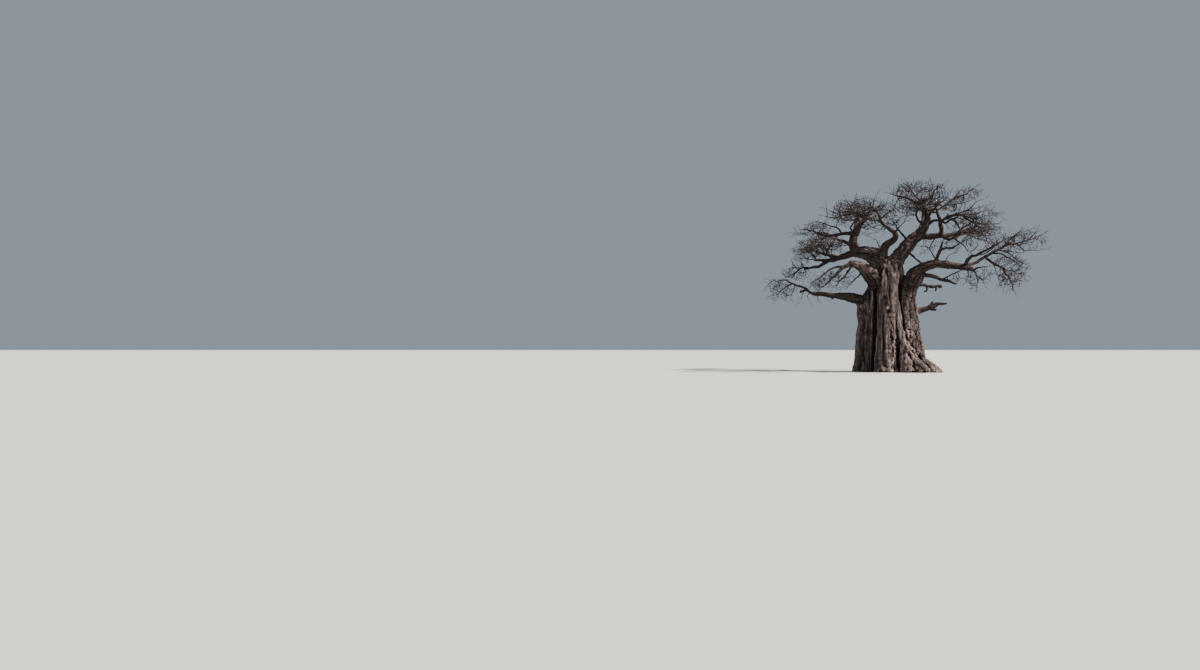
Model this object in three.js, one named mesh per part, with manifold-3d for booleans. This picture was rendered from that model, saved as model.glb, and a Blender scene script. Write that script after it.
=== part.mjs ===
// An old baobab, bare in the dry season: a squat trunk of fused stems with a root flare, heavy boughs,
// and the masses of fine twigs that the boughs carry.
//
// Millimetres, +Z up, level ground at z = 0. The origin is in the trunk's flat cut at the ground. The front
// looks along -Y, and +X is on its right.
//
// Places below are in metres, as [across, up, depth]. Across and up are read as they show from in front, at
// a standing person's eye VIEW_DISTANCE away, against the plane y = 0 through the trunk. Depth is the true
// distance behind that plane, and seen() moves the place along its line of sight to that depth.
import * as THREE from "three";
import { mergeVertices } from "three/addons/utils/BufferGeometryUtils.js";
import Module from "manifold-3d";

const wasm = await Module();
wasm.setup();

const METRE = 1000;
const VIEW_DISTANCE = 58;
const EYE_HEIGHT = 1.5;
const CUT_GAP = 0.5; // millimetres left between a solid and the neighbour that it is cut by
const BELOW_GROUND = 2; // metres of each stem's foot that the flat cut takes off at most
const RING_STEP = 0.85; // metres of limb for each ring of its mesh
const BOUGH_SIDES = 7;
const STEM_SIDES = 12;
const STEM_RINGS = 8;

const BARK = { color: 0x6b5b50, roughness: 0.9, metalness: 0 };
const TWIG = { color: 0x5a453c, roughness: 0.95, metalness: 0 };

// The fused stems of the trunk. thick holds each stem's diameter at its places.
const STEMS = [
  {
    // left stem, which gives off the low left bough at its shoulder
    path: [
      [-1.5, -0.5, 0.1],
      [-1.42, 1, 0.1],
      [-1.3, 3.4, 0.1],
      [-1.18, 4.6, 0.1],
      [-0.92, 5.4, 0.15],
      [-0.8, 6.7, 0.1],
    ],
    thick: [2.1, 1.62, 1.46, 1.6, 1.2, 1.1],
  },
  {
    // middle stem, at the front, which widens into the main fork
    path: [
      [-0.3, -0.5, -0.8],
      [-0.26, 1.2, -0.75],
      [-0.2, 3.5, -0.65],
      [-0.08, 5.5, -0.5],
      [-0.08, 6.9, -0.2],
      [-0.02, 7.6, 0],
    ],
    thick: [1.7, 1.34, 1.3, 1.36, 1.56, 1.3],
  },
  {
    // right stem, with the widest root flare
    path: [
      [1.95, -0.4, 0],
      [1.6, 0.7, 0],
      [1.28, 2.2, 0],
      [1.2, 3.4, 0.05],
      [1.1, 5, 0.1],
      [1.35, 6.1, 0.1],
    ],
    thick: [2.9, 1.6, 1.42, 1.32, 1.12, 1.1],
  },
  {
    // ridge that runs down in front of the right stem and out along the ground
    path: [
      [0.62, 5.1, -0.5],
      [0.72, 3.6, -0.75],
      [0.98, 2.1, -0.95],
      [1.55, 0.95, -1.1],
      [2.3, 0, -1.3],
    ],
    thick: [0.3, 0.5, 0.58, 0.7, 0.7],
  },
  {
    // back left stem
    path: [
      [-0.85, -0.5, 1.3],
      [-0.75, 1.2, 1.2],
      [-0.65, 3.6, 1.1],
      [-0.5, 5.6, 0.9],
      [-0.4, 7.2, 0.55],
    ],
    thick: [2.4, 1.95, 1.8, 1.6, 1.2],
  },
  {
    // back right stem
    path: [
      [0.85, -0.5, 1.55],
      [0.72, 1.2, 1.35],
      [0.65, 3.6, 1.2],
      [0.55, 5.4, 1],
      [0.4, 7, 0.6],
    ],
    thick: [2.6, 2.05, 1.85, 1.6, 1.2],
  },
  {
    // heartwood that closes the middle
    path: [
      [0, -0.5, 0.2],
      [0.1, 3, 0.25],
      [0.15, 6.4, 0.2],
    ],
    thick: [2.4, 2.2, 1.6],
  },
];

// The boughs. Each tapers from its first to its last place, and ends where it enters a mass of twigs.
const BOUGHS = {
  low_left_bough: {
    path: [
      [-1.15, 4.75, 0],
      [-2.2, 5.03, -0.1],
      [-3.2, 5.26, -0.25],
      [-4.2, 5.43, -0.4],
      [-5.1, 5.44, -0.5],
      [-5.65, 5.83, -0.6],
      [-6.7, 6.35, -0.8],
    ],
    thick: [1.0, 0.68, 0.46, 0.34, 0.27, 0.2, 0.1],
  },
  left_shoulder_bough: {
    path: [
      [-0.95, 5.6, -0.05],
      [-0.95, 6.15, -0.3],
      [-1.35, 6.8, -0.7],
      [-1.95, 7.25, -1],
      [-2.6, 7.52, -1.3],
    ],
    thick: [0.8, 1.02, 0.86, 0.66, 0.44],
  },
  left_shoulder_arm: {
    path: [
      [-2.45, 7.5, -1.25],
      [-3, 7.28, -1.5],
      [-3.35, 6.85, -1.8],
      [-3.9, 6.4, -2.1],
    ],
    thick: [0.36, 0.28, 0.2, 0.12],
  },
  left_bough: {
    path: [
      [-0.3, 7.3, 0.1],
      [-0.85, 7.95, 0.3],
      [-1.5, 8.25, 0.45],
      [-2.25, 8.28, 0.6],
    ],
    thick: [1.2, 0.98, 0.78, 0.6],
  },
  left_rising_bough: {
    path: [
      [-2.15, 8.15, 0.6],
      [-2.38, 8.8, 0.65],
      [-2.32, 9.4, 0.7],
      [-2.05, 9.9, 0.7],
      [-1.7, 10.35, 0.7],
      [-1.5, 10.9, 0.7],
    ],
    thick: [0.66, 0.54, 0.5, 0.44, 0.34, 0.24],
  },
  left_arm: {
    path: [
      [-2.3, 8.2, 0.6],
      [-3.1, 7.95, 0.9],
      [-4, 7.74, 1.1],
      [-4.9, 7.85, 1.1],
    ],
    thick: [0.5, 0.4, 0.3, 0.2],
  },
  left_lower_arm: {
    path: [
      [-4, 7.72, 1.1],
      [-4.75, 7.4, 1.3],
      [-5.6, 7.28, 1.5],
    ],
    thick: [0.24, 0.2, 0.14],
  },
  left_upper_arm: {
    path: [
      [-2.3, 9.6, 0.7],
      [-3, 9.62, 1.1],
      [-3.9, 9.5, 1.7],
      [-4.7, 9.75, 2.2],
    ],
    thick: [0.32, 0.26, 0.2, 0.12],
  },
  left_crossing_arm: {
    path: [
      [-2.4, 8.65, 0.55],
      [-3.05, 9.12, -0.4],
      [-3.6, 9.3, -1.4],
      [-4.5, 8.86, -2.8],
    ],
    thick: [0.26, 0.2, 0.16, 0.12],
  },
  front_high_arm: {
    path: [
      [-2.15, 9.7, 0.6],
      [-1.98, 10.05, -0.4],
      [-1.85, 10.45, -1.4],
      [-2.1, 10.9, -2.5],
    ],
    thick: [0.28, 0.22, 0.17, 0.12],
  },
  centre_bough: {
    path: [
      [-0.45, 7.9, -0.1],
      [-0.1, 8.7, -0.6],
      [0.34, 9.08, -1.1],
      [0.42, 9.45, -1.6],
      [0.05, 9.8, -2.1],
      [-0.35, 10.2, -2.6],
      [-0.7, 11, -3.2],
    ],
    thick: [0.75, 0.55, 0.4, 0.34, 0.26, 0.2, 0.1],
  },
  right_rising_bough: {
    path: [
      [0.1, 7.2, 0],
      [0.6, 7.95, 0],
      [1.1, 8.6, 0.05],
      [1.6, 9.08, 0.1],
      [2.15, 9.35, 0.15],
    ],
    thick: [1.3, 1.06, 0.9, 0.74, 0.6],
  },
  crown_bough: {
    path: [
      [1.95, 9.25, 0.15],
      [2.3, 9.8, 0.2],
      [2.42, 10.35, 0.25],
      [2.3, 10.9, 0.3],
      [2.12, 11.75, 0.3],
    ],
    thick: [0.62, 0.54, 0.44, 0.34, 0.24],
  },
  front_top_arm: {
    path: [
      [2.4, 10.4, 0.25],
      [2.6, 10.75, -0.6],
      [2.9, 10.95, -1.5],
      [3.05, 11.25, -2.5],
    ],
    thick: [0.3, 0.22, 0.17, 0.12],
  },
  ring_bough: {
    path: [
      [2.1, 9.2, 0.1],
      [2.75, 9.12, 0],
      [3.25, 9.16, -0.1],
      [3.44, 9.55, -0.2],
      [3.3, 10.08, -0.3],
    ],
    thick: [0.46, 0.36, 0.32, 0.26, 0.24],
  },
  ring_closing_arm: {
    path: [
      [2.45, 9.9, 0.2],
      [2.85, 10.2, 0],
      [3.2, 10.2, -0.2],
    ],
    thick: [0.24, 0.18, 0.16],
  },
  upper_right_arm: {
    path: [
      [3.3, 10.1, -0.3],
      [3.08, 10.85, -0.1],
      [3.6, 11.22, 0.3],
      [4.4, 11.75, 0.8],
    ],
    thick: [0.22, 0.16, 0.13, 0.1],
  },
  right_upper_arm: {
    path: [
      [3.3, 10.08, -0.35],
      [3.75, 10.48, -0.6],
      [4.3, 10.55, -0.9],
      [5, 10.35, -1.3],
    ],
    thick: [0.22, 0.18, 0.16, 0.12],
  },
  lower_ring_arm: {
    path: [
      [3.35, 9.2, -0.1],
      [3.65, 8.88, -0.7],
      [4.05, 8.95, -1.4],
      [4.5, 9.2, -2.2],
      [4.9, 9.3, -3],
    ],
    thick: [0.28, 0.22, 0.2, 0.16, 0.12],
  },
  right_bough: {
    path: [
      [1.1, 5.2, 0.1],
      [1.22, 5.8, 0],
      [1.6, 6.5, -0.05],
      [2.15, 7.02, -0.15],
      [2.9, 7.3, -0.25],
      [3.7, 7.24, -0.35],
      [4.5, 7.05, -0.45],
      [5.25, 6.85, -0.55],
    ],
    thick: [0.9, 1.16, 1.06, 0.72, 0.56, 0.5, 0.42, 0.28],
  },
  right_outer_arm: {
    path: [
      [4.6, 7.05, -0.45],
      [5.3, 7.3, -0.3],
      [6.1, 7.68, -0.1],
      [7.4, 8.4, 0.3],
    ],
    thick: [0.34, 0.26, 0.2, 0.12],
  },
  right_drooping_arm: {
    path: [
      [5.95, 7.6, -0.25],
      [6.4, 7.25, -0.6],
      [7.1, 6.85, -1],
    ],
    thick: [0.2, 0.16, 0.1],
  },
  right_knee_arm: {
    path: [
      [4.75, 7.1, -0.45],
      [5, 7.6, -0.9],
      [5.5, 7.78, -1.5],
      [6.4, 8.25, -2.5],
    ],
    thick: [0.26, 0.2, 0.17, 0.12],
  },
  right_upright_arm: {
    path: [
      [2.95, 7.4, -0.25],
      [3.15, 8.05, -0.4],
      [3.4, 8.75, -0.6],
    ],
    thick: [0.26, 0.2, 0.1],
  },
  right_upper_stub: {
    path: [
      [2.1, 6.6, -0.2],
      [2.8, 6.43, -0.6],
      [3.4, 6.18, -0.9],
      [4.2, 5.95, -1.2],
    ],
    thick: [0.36, 0.24, 0.2, 0.15],
  },
  right_middle_stub: {
    path: [
      [1.5, 5.95, 0.1],
      [2.1, 5.88, 0.4],
      [2.75, 5.76, 0.6],
      [3.25, 5.78, 0.8],
    ],
    thick: [0.4, 0.27, 0.22, 0.12],
  },
  right_lower_stub: {
    path: [
      [1.4, 4.05, 0.2],
      [2.1, 4.24, 0.3],
      [2.65, 4.38, 0.4],
      [3.4, 4.58, 0.5],
    ],
    thick: [0.6, 0.44, 0.34, 0.12],
  },
  back_left_bough: {
    path: [
      [-0.3, 7.1, 0.7],
      [-1.2, 7.95, 1.8],
      [-2.3, 8.22, 3],
      [-3.3, 8, 4.1],
      [-4.25, 8.2, 5],
    ],
    thick: [1.2, 0.84, 0.56, 0.34, 0.24],
  },
  back_rising_arm: {
    path: [
      [-1.8, 8.15, 2.5],
      [-2.25, 8.9, 3.1],
      [-2.25, 9.7, 3.8],
      [-2, 10.6, 4.7],
    ],
    thick: [0.54, 0.44, 0.34, 0.2],
  },
  back_right_bough: {
    path: [
      [0.3, 7.2, 0.7],
      [0.95, 8.3, 1.6],
      [1.9, 9.25, 2.8],
      [2.3, 10.3, 3.8],
      [2.2, 11.1, 4.5],
    ],
    thick: [1.2, 0.84, 0.62, 0.4, 0.26],
  },
  back_right_arm: {
    path: [
      [1.8, 9.12, 2.65],
      [2.8, 9.15, 3.4],
      [3.8, 9.15, 4],
      [5, 9.4, 4.7],
    ],
    thick: [0.5, 0.42, 0.34, 0.2],
  },
};

// The masses of twigs. at is the middle, half the half sizes across, in depth and up, tilt how far the right
// end is raised in degrees, narrow how far the right end is the smaller one, and arch how much both ends lift.
const MASSES = {
  far_left_twigs: { at: [-7.25, 5.85, -0.9], half: [1.2, 0.85, 0.8], tilt: 5, narrow: -0.25, arch: 0 },
  outer_left_twigs: { at: [-6.05, 7.05, 1.5], half: [1.15, 1.1, 0.62], tilt: 18, narrow: -0.15, arch: 0 },
  left_twigs: { at: [-5.35, 8.45, 0.9], half: [1.05, 1.3, 0.85], tilt: 0, narrow: -0.1, arch: 0 },
  upper_left_twigs: { at: [-4.95, 9.87, 2.2], half: [1.5, 1.1, 0.62], tilt: 0, narrow: -0.25, arch: 0 },
  high_left_twigs: { at: [-2.15, 11.25, 0.7], half: [2.3, 1.5, 0.7], tilt: 8, narrow: -0.05, arch: -0.15 },
  hanging_left_twigs: { at: [-4.3, 6.4, -2.3], half: [1.2, 1.2, 0.62], tilt: 26, narrow: -0.15, arch: 0 },
  crown_twigs: { at: [1.9, 12.13, 0.3], half: [1.95, 1.6, 0.78], tilt: -5, narrow: 0.1, arch: 0 },
  centre_twigs: { at: [-0.45, 10.85, -4.2], half: [1.3, 1.9, 0.6], tilt: 0, narrow: 0, arch: 0 },
  upper_right_twigs: { at: [4.5, 11.5, 0.9], half: [1.45, 1.3, 0.6], tilt: 30, narrow: 0.35, arch: 0 },
  right_twigs: { at: [5.45, 10.35, -1.3], half: [1.6, 1.2, 0.6], tilt: -4, narrow: 0.25, arch: 0 },
  inner_right_twigs: { at: [5.15, 9.2, -3.6], half: [1.15, 1.4, 0.5], tilt: 0, narrow: 0.1, arch: 0 },
  outer_right_twigs: { at: [7.95, 8.55, 0.5], half: [1.65, 1.5, 0.66], tilt: 14, narrow: 0, arch: 0 },
  drooping_right_twigs: { at: [7.5, 6.45, -1.2], half: [0.9, 1.1, 1.1], tilt: -25, narrow: 0, arch: 0 },
  under_right_twigs: { at: [5.5, 6.25, -0.6], half: [0.85, 0.7, 0.8], tilt: 0, narrow: 0, arch: 0 },
  front_right_twigs: { at: [7, 8.5, -3], half: [1.3, 1.3, 0.55], tilt: 15, narrow: 0.1, arch: 0 },
  front_left_twigs: { at: [-5.25, 8.6, -3.5], half: [1.2, 1.4, 0.65], tilt: 0, narrow: -0.1, arch: 0 },
  front_high_twigs: { at: [-2.6, 10.95, -3.4], half: [1.5, 1.5, 0.55], tilt: 6, narrow: 0, arch: 0 },
  front_top_twigs: { at: [3.15, 11.35, -3.5], half: [1.4, 1.5, 0.55], tilt: 4, narrow: 0, arch: 0 },
  back_left_twigs: { at: [-4.6, 8.75, 5.2], half: [1.6, 1.8, 0.8], tilt: 0, narrow: -0.1, arch: 0 },
  back_twigs: { at: [-1.9, 10.75, 5.3], half: [1.7, 1.7, 0.7], tilt: 5, narrow: 0, arch: 0 },
  back_top_twigs: { at: [2.1, 11.25, 5.2], half: [1.7, 1.8, 0.68], tilt: 0, narrow: 0, arch: 0 },
  back_right_twigs: { at: [5.7, 9.45, 5], half: [1.6, 1.8, 0.7], tilt: -5, narrow: 0.1, arch: 0 },
};

const MASS_DETAIL = 2;
const LUMP_DEPTH = 0.22; // share of a mass's size that its lumps stand in or out

/** A place of [across, up, depth] in metres, as a point in millimetres. */
function seen([across, up, depth]) {
  const spread = 1 + depth / VIEW_DISTANCE;
  return new THREE.Vector3(
    across * spread,
    depth,
    EYE_HEIGHT + (up - EYE_HEIGHT) * spread,
  ).multiplyScalar(METRE);
}

/** A value read smoothly between the entries of a list, for t from 0 to 1. */
function between(list, t) {
  const place = t * (list.length - 1);
  const first = Math.min(Math.floor(place), list.length - 2);
  return THREE.MathUtils.lerp(list[first], list[first + 1], place - first);
}

/** A closed, tapering limb: a capped cylinder whose rings are laid along a smooth path. */
function limb({ path, thick }, sides, rings) {
  const curve = new THREE.CatmullRomCurve3(path.map(seen), false, "centripetal");
  const frames = curve.computeFrenetFrames(rings, false);
  const geometry = new THREE.CylinderGeometry(1, 1, 1, sides, rings);
  const position = geometry.getAttribute("position");
  for (let i = 0; i < position.count; i++) {
    const t = 0.5 - position.getY(i);
    const ring = Math.round(t * rings);
    const radius = (between(thick, curve.getUtoTmapping(t)) / 2) * METRE;
    const point = curve
      .getPointAt(t)
      .addScaledVector(frames.normals[ring], position.getX(i) * radius)
      .addScaledVector(frames.binormals[ring], position.getZ(i) * radius);
    position.setXYZ(i, point.x, point.y, point.z);
  }
  return outward(geometry);
}

/** An uneven closed mass: a ball stretched, narrowed, lifted and tilted, with lumps of its own. */
function mass({ at, half, tilt, narrow, arch }, seed) {
  const geometry = new THREE.IcosahedronGeometry(1, MASS_DETAIL);
  const position = geometry.getAttribute("position");
  const centre = seen(at);
  const tilted = new THREE.Euler(0, -THREE.MathUtils.degToRad(tilt), 0);
  for (let i = 0; i < position.count; i++) {
    const way = new THREE.Vector3().fromBufferAttribute(position, i).normalize();
    const lump = 1 + LUMP_DEPTH * lumps(way, seed);
    const end = 1 - narrow * way.x;
    const spot = new THREE.Vector3(
      way.x * half[0],
      way.y * half[1] * end,
      way.z * half[2] * end + arch * way.x * way.x,
    );
    spot.multiplyScalar(lump * METRE).applyEuler(tilted).add(centre);
    position.setXYZ(i, spot.x, spot.y, spot.z);
  }
  return outward(geometry);
}

/** A smooth wave over the directions of a ball, from -1 to 1, different for each seed. */
function lumps(way, seed) {
  const first = Math.sin(3.1 * way.x + 1.7 * seed) * Math.cos(2.9 * way.y - 0.9 * seed);
  const second = Math.sin(4.7 * way.z + 2.3 * seed + 2.1 * way.x);
  return 0.6 * first + 0.4 * second;
}

/** A geometry with only shared positions, whose faces point out. */
function outward(geometry) {
  geometry.deleteAttribute("normal");
  geometry.deleteAttribute("uv");
  const merged = mergeVertices(geometry, 1e-3);
  const index = merged.getIndex();
  if (volumeOf(merged) < 0) {
    for (let i = 0; i < index.count; i += 3) {
      const swapped = index.getX(i + 1);
      index.setX(i + 1, index.getX(i + 2));
      index.setX(i + 2, swapped);
    }
  }
  return merged;
}

function volumeOf(geometry) {
  const position = geometry.getAttribute("position");
  const index = geometry.getIndex();
  const corner = [0, 1, 2].map(() => new THREE.Vector3());
  let volume = 0;
  for (let i = 0; i < index.count; i += 3) {
    corner.forEach((c, k) => c.fromBufferAttribute(position, index.getX(i + k)));
    volume += corner[0].dot(corner[1].clone().cross(corner[2])) / 6;
  }
  return volume;
}

function solidOf(geometry) {
  const index = geometry.getIndex();
  return new wasm.Manifold(
    new wasm.Mesh({
      numProp: 3,
      vertProperties: new Float32Array(geometry.getAttribute("position").array),
      triVerts: new Uint32Array(index.array),
    }),
  );
}

/** The same solid with its surface moved out by CUT_GAP. */
function grown(geometry) {
  const fat = geometry.clone();
  fat.computeVertexNormals();
  const position = fat.getAttribute("position");
  const normal = fat.getAttribute("normal");
  for (let i = 0; i < position.count; i++) {
    position.setXYZ(
      i,
      position.getX(i) + normal.getX(i) * CUT_GAP,
      position.getY(i) + normal.getY(i) * CUT_GAP,
      position.getZ(i) + normal.getZ(i) * CUT_GAP,
    );
  }
  fat.deleteAttribute("normal");
  return solidOf(fat);
}

/** The largest of the separate bodies of a solid. */
function largest(solid) {
  return solid
    .decompose()
    .reduce((most, body) => (body.volume() > most.volume() ? body : most));
}

function meshOf(name, solid, look) {
  const made = solid.getMesh();
  const geometry = new THREE.BufferGeometry();
  geometry.setAttribute("position", new THREE.BufferAttribute(made.vertProperties, 3));
  geometry.setIndex(new THREE.BufferAttribute(made.triVerts, 1));
  geometry.computeVertexNormals();
  const mesh = new THREE.Mesh(geometry, new THREE.MeshStandardMaterial(look));
  mesh.name = name;
  return mesh;
}

/** The trunk: its stems joined, then cut flat at the ground. */
function trunk(fatten) {
  const stems = STEMS.map((stem) => fatten(limb(stem, STEM_SIDES, STEM_RINGS)));
  const joined = stems.reduce((whole, stem) => whole.add(stem));
  const wide = 20 * METRE;
  const soil = outward(new THREE.BoxGeometry(wide, wide, BELOW_GROUND * METRE));
  soil.translate(0, 0, (-BELOW_GROUND * METRE) / 2);
  return joined.subtract(solidOf(soil));
}

function ringsFor(bough) {
  const length = new THREE.CatmullRomCurve3(bough.path.map(seen)).getLength() / METRE;
  return Math.max(bough.path.length - 1, Math.round(length / RING_STEP));
}

const tree = new THREE.Group();
const cutters = [];

Object.entries(MASSES).forEach(([name, sizes], number) => {
  const geometry = mass(sizes, number + 1);
  const cut = cutters.reduce((left, cutter) => left.subtract(cutter), solidOf(geometry));
  tree.add(meshOf(name, largest(cut), TWIG));
  cutters.push(grown(geometry));
});

tree.add(meshOf("trunk", trunk(solidOf), BARK));
cutters.push(trunk(grown));

for (const [name, bough] of Object.entries(BOUGHS)) {
  const geometry = limb(bough, BOUGH_SIDES, ringsFor(bough));
  const cut = cutters.reduce((left, cutter) => left.subtract(cutter), solidOf(geometry));
  tree.add(meshOf(name, largest(cut), BARK));
  cutters.push(grown(geometry));
}

export default tree;
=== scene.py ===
"""An old bare baobab: bark relief over the trunk and boughs, and twigs grown through each mass."""
import math

import bmesh
import bpy
import numpy as np
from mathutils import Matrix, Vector, kdtree


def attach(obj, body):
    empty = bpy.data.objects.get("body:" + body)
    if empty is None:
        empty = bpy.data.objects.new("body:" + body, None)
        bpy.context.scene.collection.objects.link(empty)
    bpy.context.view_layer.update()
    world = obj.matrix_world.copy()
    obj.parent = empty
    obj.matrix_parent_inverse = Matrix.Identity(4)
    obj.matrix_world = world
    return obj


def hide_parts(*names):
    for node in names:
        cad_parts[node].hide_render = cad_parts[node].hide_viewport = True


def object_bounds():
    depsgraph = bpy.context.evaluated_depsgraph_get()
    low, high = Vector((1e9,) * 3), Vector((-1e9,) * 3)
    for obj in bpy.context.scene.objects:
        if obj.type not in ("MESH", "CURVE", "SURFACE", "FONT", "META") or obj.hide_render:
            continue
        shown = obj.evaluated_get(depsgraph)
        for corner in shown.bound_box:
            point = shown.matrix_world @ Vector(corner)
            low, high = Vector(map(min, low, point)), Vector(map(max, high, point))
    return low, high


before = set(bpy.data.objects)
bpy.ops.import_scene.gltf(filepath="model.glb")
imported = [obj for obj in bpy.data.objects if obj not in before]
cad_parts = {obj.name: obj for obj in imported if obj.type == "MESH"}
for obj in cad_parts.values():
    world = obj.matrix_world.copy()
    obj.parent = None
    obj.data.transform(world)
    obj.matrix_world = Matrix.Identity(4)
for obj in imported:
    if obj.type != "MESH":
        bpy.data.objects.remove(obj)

CAD_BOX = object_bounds()

# Places are [across, up, depth] in metres. Across and up are read as they show from in front, seen from
# EYE_HEIGHT and VIEW_DISTANCE away against the plane y = 0. Depth is the true distance behind that plane.
VIEW_DISTANCE = 58
EYE_HEIGHT = 1.5

# Limbs are rows of across, up, depth and thickness. The stems of the trunk:
STEMS = [
    # left stem
    [(-1.5, -0.5, 0.1, 2.1), (-1.42, 1, 0.1, 1.62), (-1.3, 3.4, 0.1, 1.46), (-1.18, 4.6, 0.1, 1.6),
     (-0.92, 5.4, 0.15, 1.2), (-0.8, 6.7, 0.1, 1.1)],
    # middle stem
    [(-0.3, -0.5, -0.8, 1.7), (-0.26, 1.2, -0.75, 1.34), (-0.2, 3.5, -0.65, 1.3), (-0.08, 5.5, -0.5, 1.36),
     (-0.08, 6.6, -0.2, 1.46), (0.06, 7.3, 0.05, 1.15), (0.5, 7.95, 0.2, 0.6)],
    # right stem
    [(1.95, -0.4, 0, 2.9), (1.6, 0.7, 0, 1.6), (1.28, 2.2, 0, 1.42), (1.2, 3.4, 0.05, 1.32),
     (1.1, 5, 0.1, 1.12), (1.35, 6.1, 0.1, 1.1)],
    # back stems and heartwood
    [(-0.85, -0.5, 1.3, 2.4), (-0.75, 1.2, 1.2, 1.95), (-0.65, 3.6, 1.1, 1.8), (-0.5, 5.6, 0.9, 1.6),
     (-0.4, 7.2, 0.55, 1.2)],
    [(0.85, -0.5, 1.55, 2.6), (0.72, 1.2, 1.35, 2.05), (0.65, 3.6, 1.2, 1.85), (0.55, 5.4, 1, 1.6),
     (0.4, 7, 0.6, 1.2)],
    [(0, -0.5, 0.45, 2), (0.1, 3, 0.45, 1.9), (0.15, 6.4, 0.3, 1.6)],
]

# Folds and ridges that stand out of the stems, and the toes of the roots.
FOLDS = [
    [(-1.98, -0.3, -0.3, 0.9), (-2, 0.4, -0.3, 0.8), (-1.95, 1, -0.3, 0.62), (-1.98, 1.6, -0.3, 0.7),
     (-1.96, 2.2, -0.28, 0.66), (-1.9, 2.9, -0.25, 0.5), (-1.87, 3.5, -0.2, 0.46),
     (-1.84, 4.1, -0.15, 0.56), (-1.8, 4.7, -0.1, 0.62), (-2.3, 5.02, -0.12, 0.5)],
    [(-1.3, -0.3, -0.55, 0.85), (-1.28, 1.2, -0.48, 0.58), (-1.22, 3.2, -0.42, 0.54),
     (-1.12, 5, -0.38, 0.48), (-1.02, 6.3, -0.35, 0.42), (-1, 7, -0.2, 0.3)],
    [(-0.95, -0.3, -0.4, 0.7), (-0.93, 2, -0.35, 0.55), (-0.92, 4.5, -0.3, 0.5), (-0.88, 6.6, -0.15, 0.5)],
    [(-0.62, -0.3, -1.2, 0.62), (-0.6, 1.2, -1.14, 0.42), (-0.55, 3.4, -1.02, 0.4),
     (-0.46, 5.2, -0.92, 0.42), (-0.38, 6.5, -0.68, 0.4), (-0.46, 7.2, -0.3, 0.36), (-0.85, 8, 0.3, 0.3)],
    [(-0.14, -0.2, -1.42, 0.5), (-0.15, 1.4, -1.36, 0.3), (-0.12, 2.8, -1.27, 0.26),
     (-0.1, 4.1, -1.14, 0.3), (-0.06, 4.9, -0.9, 0.25), (0, 5.6, -0.6, 0.25)],
    [(0.2, -0.3, -1.12, 0.6), (0.16, 1.3, -1.1, 0.42), (0.16, 3.3, -1.02, 0.42), (0.26, 5, -0.92, 0.46),
     (0.36, 6.3, -0.62, 0.44), (0.34, 7.1, -0.32, 0.36), (0.75, 8.15, 0.1, 0.3)],
    # rough knob between the middle stem and the right bough
    [(0.78, 5.4, 0.1, 0.7), (0.78, 6.3, 0.1, 0.62), (0.72, 6.8, 0.1, 0.56), (0.66, 7.3, 0.15, 0.5)],
    # ridge in front of the right stem, and the skirt of wood below it
    [(0.42, 5.4, -0.3, 0.25), (0.46, 4.8, -0.6, 0.34), (0.58, 4, -0.8, 0.36), (0.74, 3, -0.92, 0.34),
     (0.95, 2.15, -1.02, 0.36), (1.3, 1.4, -1.14, 0.36), (1.8, 0.7, -1.27, 0.36),
     (2.45, 0.12, -1.35, 0.34)],
    [(0.86, 2.6, -0.75, 0.25), (0.92, 1.7, -0.95, 0.5), (1, 0.9, -1.15, 0.72), (1.15, 0, -1.3, 0.95)],
    [(1.35, 1.5, -0.8, 0.5), (1.6, 0.8, -1, 0.6), (2.05, 0, -1.15, 0.75)],
    [(1.72, -0.3, -0.62, 0.9), (1.62, 1, -0.5, 0.6), (1.42, 2.4, -0.42, 0.5), (1.28, 3.7, -0.36, 0.42),
     (1.18, 4.6, -0.22, 0.36), (1.12, 5.5, -0.05, 0.3)],
    [(2.3, -0.3, -0.3, 0.9), (2.02, 0.9, -0.2, 0.5), (1.78, 2.2, -0.1, 0.44), (1.66, 3.4, 0, 0.42),
     (1.5, 4.6, 0, 0.36), (1.4, 5.4, 0.05, 0.3)],
    [(2.5, 0.35, -0.2, 0.5), (2.9, 0.12, -0.35, 0.4), (3.25, 0, -0.45, 0.24)],
    [(2.3, 0.3, -0.6, 0.5), (2.7, 0.1, -0.85, 0.4), (3, -0.05, -1, 0.2)],
    # folds behind
    [(-1.7, -0.3, 0.95, 0.9), (-1.6, 1.2, 0.9, 0.66), (-1.45, 3.6, 0.8, 0.6), (-1.2, 5.4, 0.6, 0.5),
     (-1, 6.2, 0.4, 0.3)],
    [(-1, -0.3, 2.2, 0.9), (-0.95, 1.3, 1.95, 0.64), (-0.85, 3.8, 1.75, 0.6), (-0.7, 5.8, 1.4, 0.5),
     (-0.6, 6.6, 0.9, 0.3)],
    [(-0.2, -0.3, 2.3, 0.8), (-0.15, 1.3, 2.05, 0.6), (-0.1, 3.6, 1.85, 0.55), (0, 5.9, 1.4, 0.5),
     (0, 6.8, 0.8, 0.3)],
    [(0.9, -0.3, 2.55, 0.8), (0.8, 1.4, 2.2, 0.62), (0.75, 3.8, 1.95, 0.58), (0.65, 5.8, 1.5, 0.5),
     (0.55, 6.6, 0.9, 0.3)],
    [(1.8, -0.3, 1.7, 1.2), (1.6, 1, 1.35, 0.8), (1.4, 2.8, 1.1, 0.7), (1.2, 4.6, 0.9, 0.6),
     (1.1, 5.6, 0.5, 0.4)],
]

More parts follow.
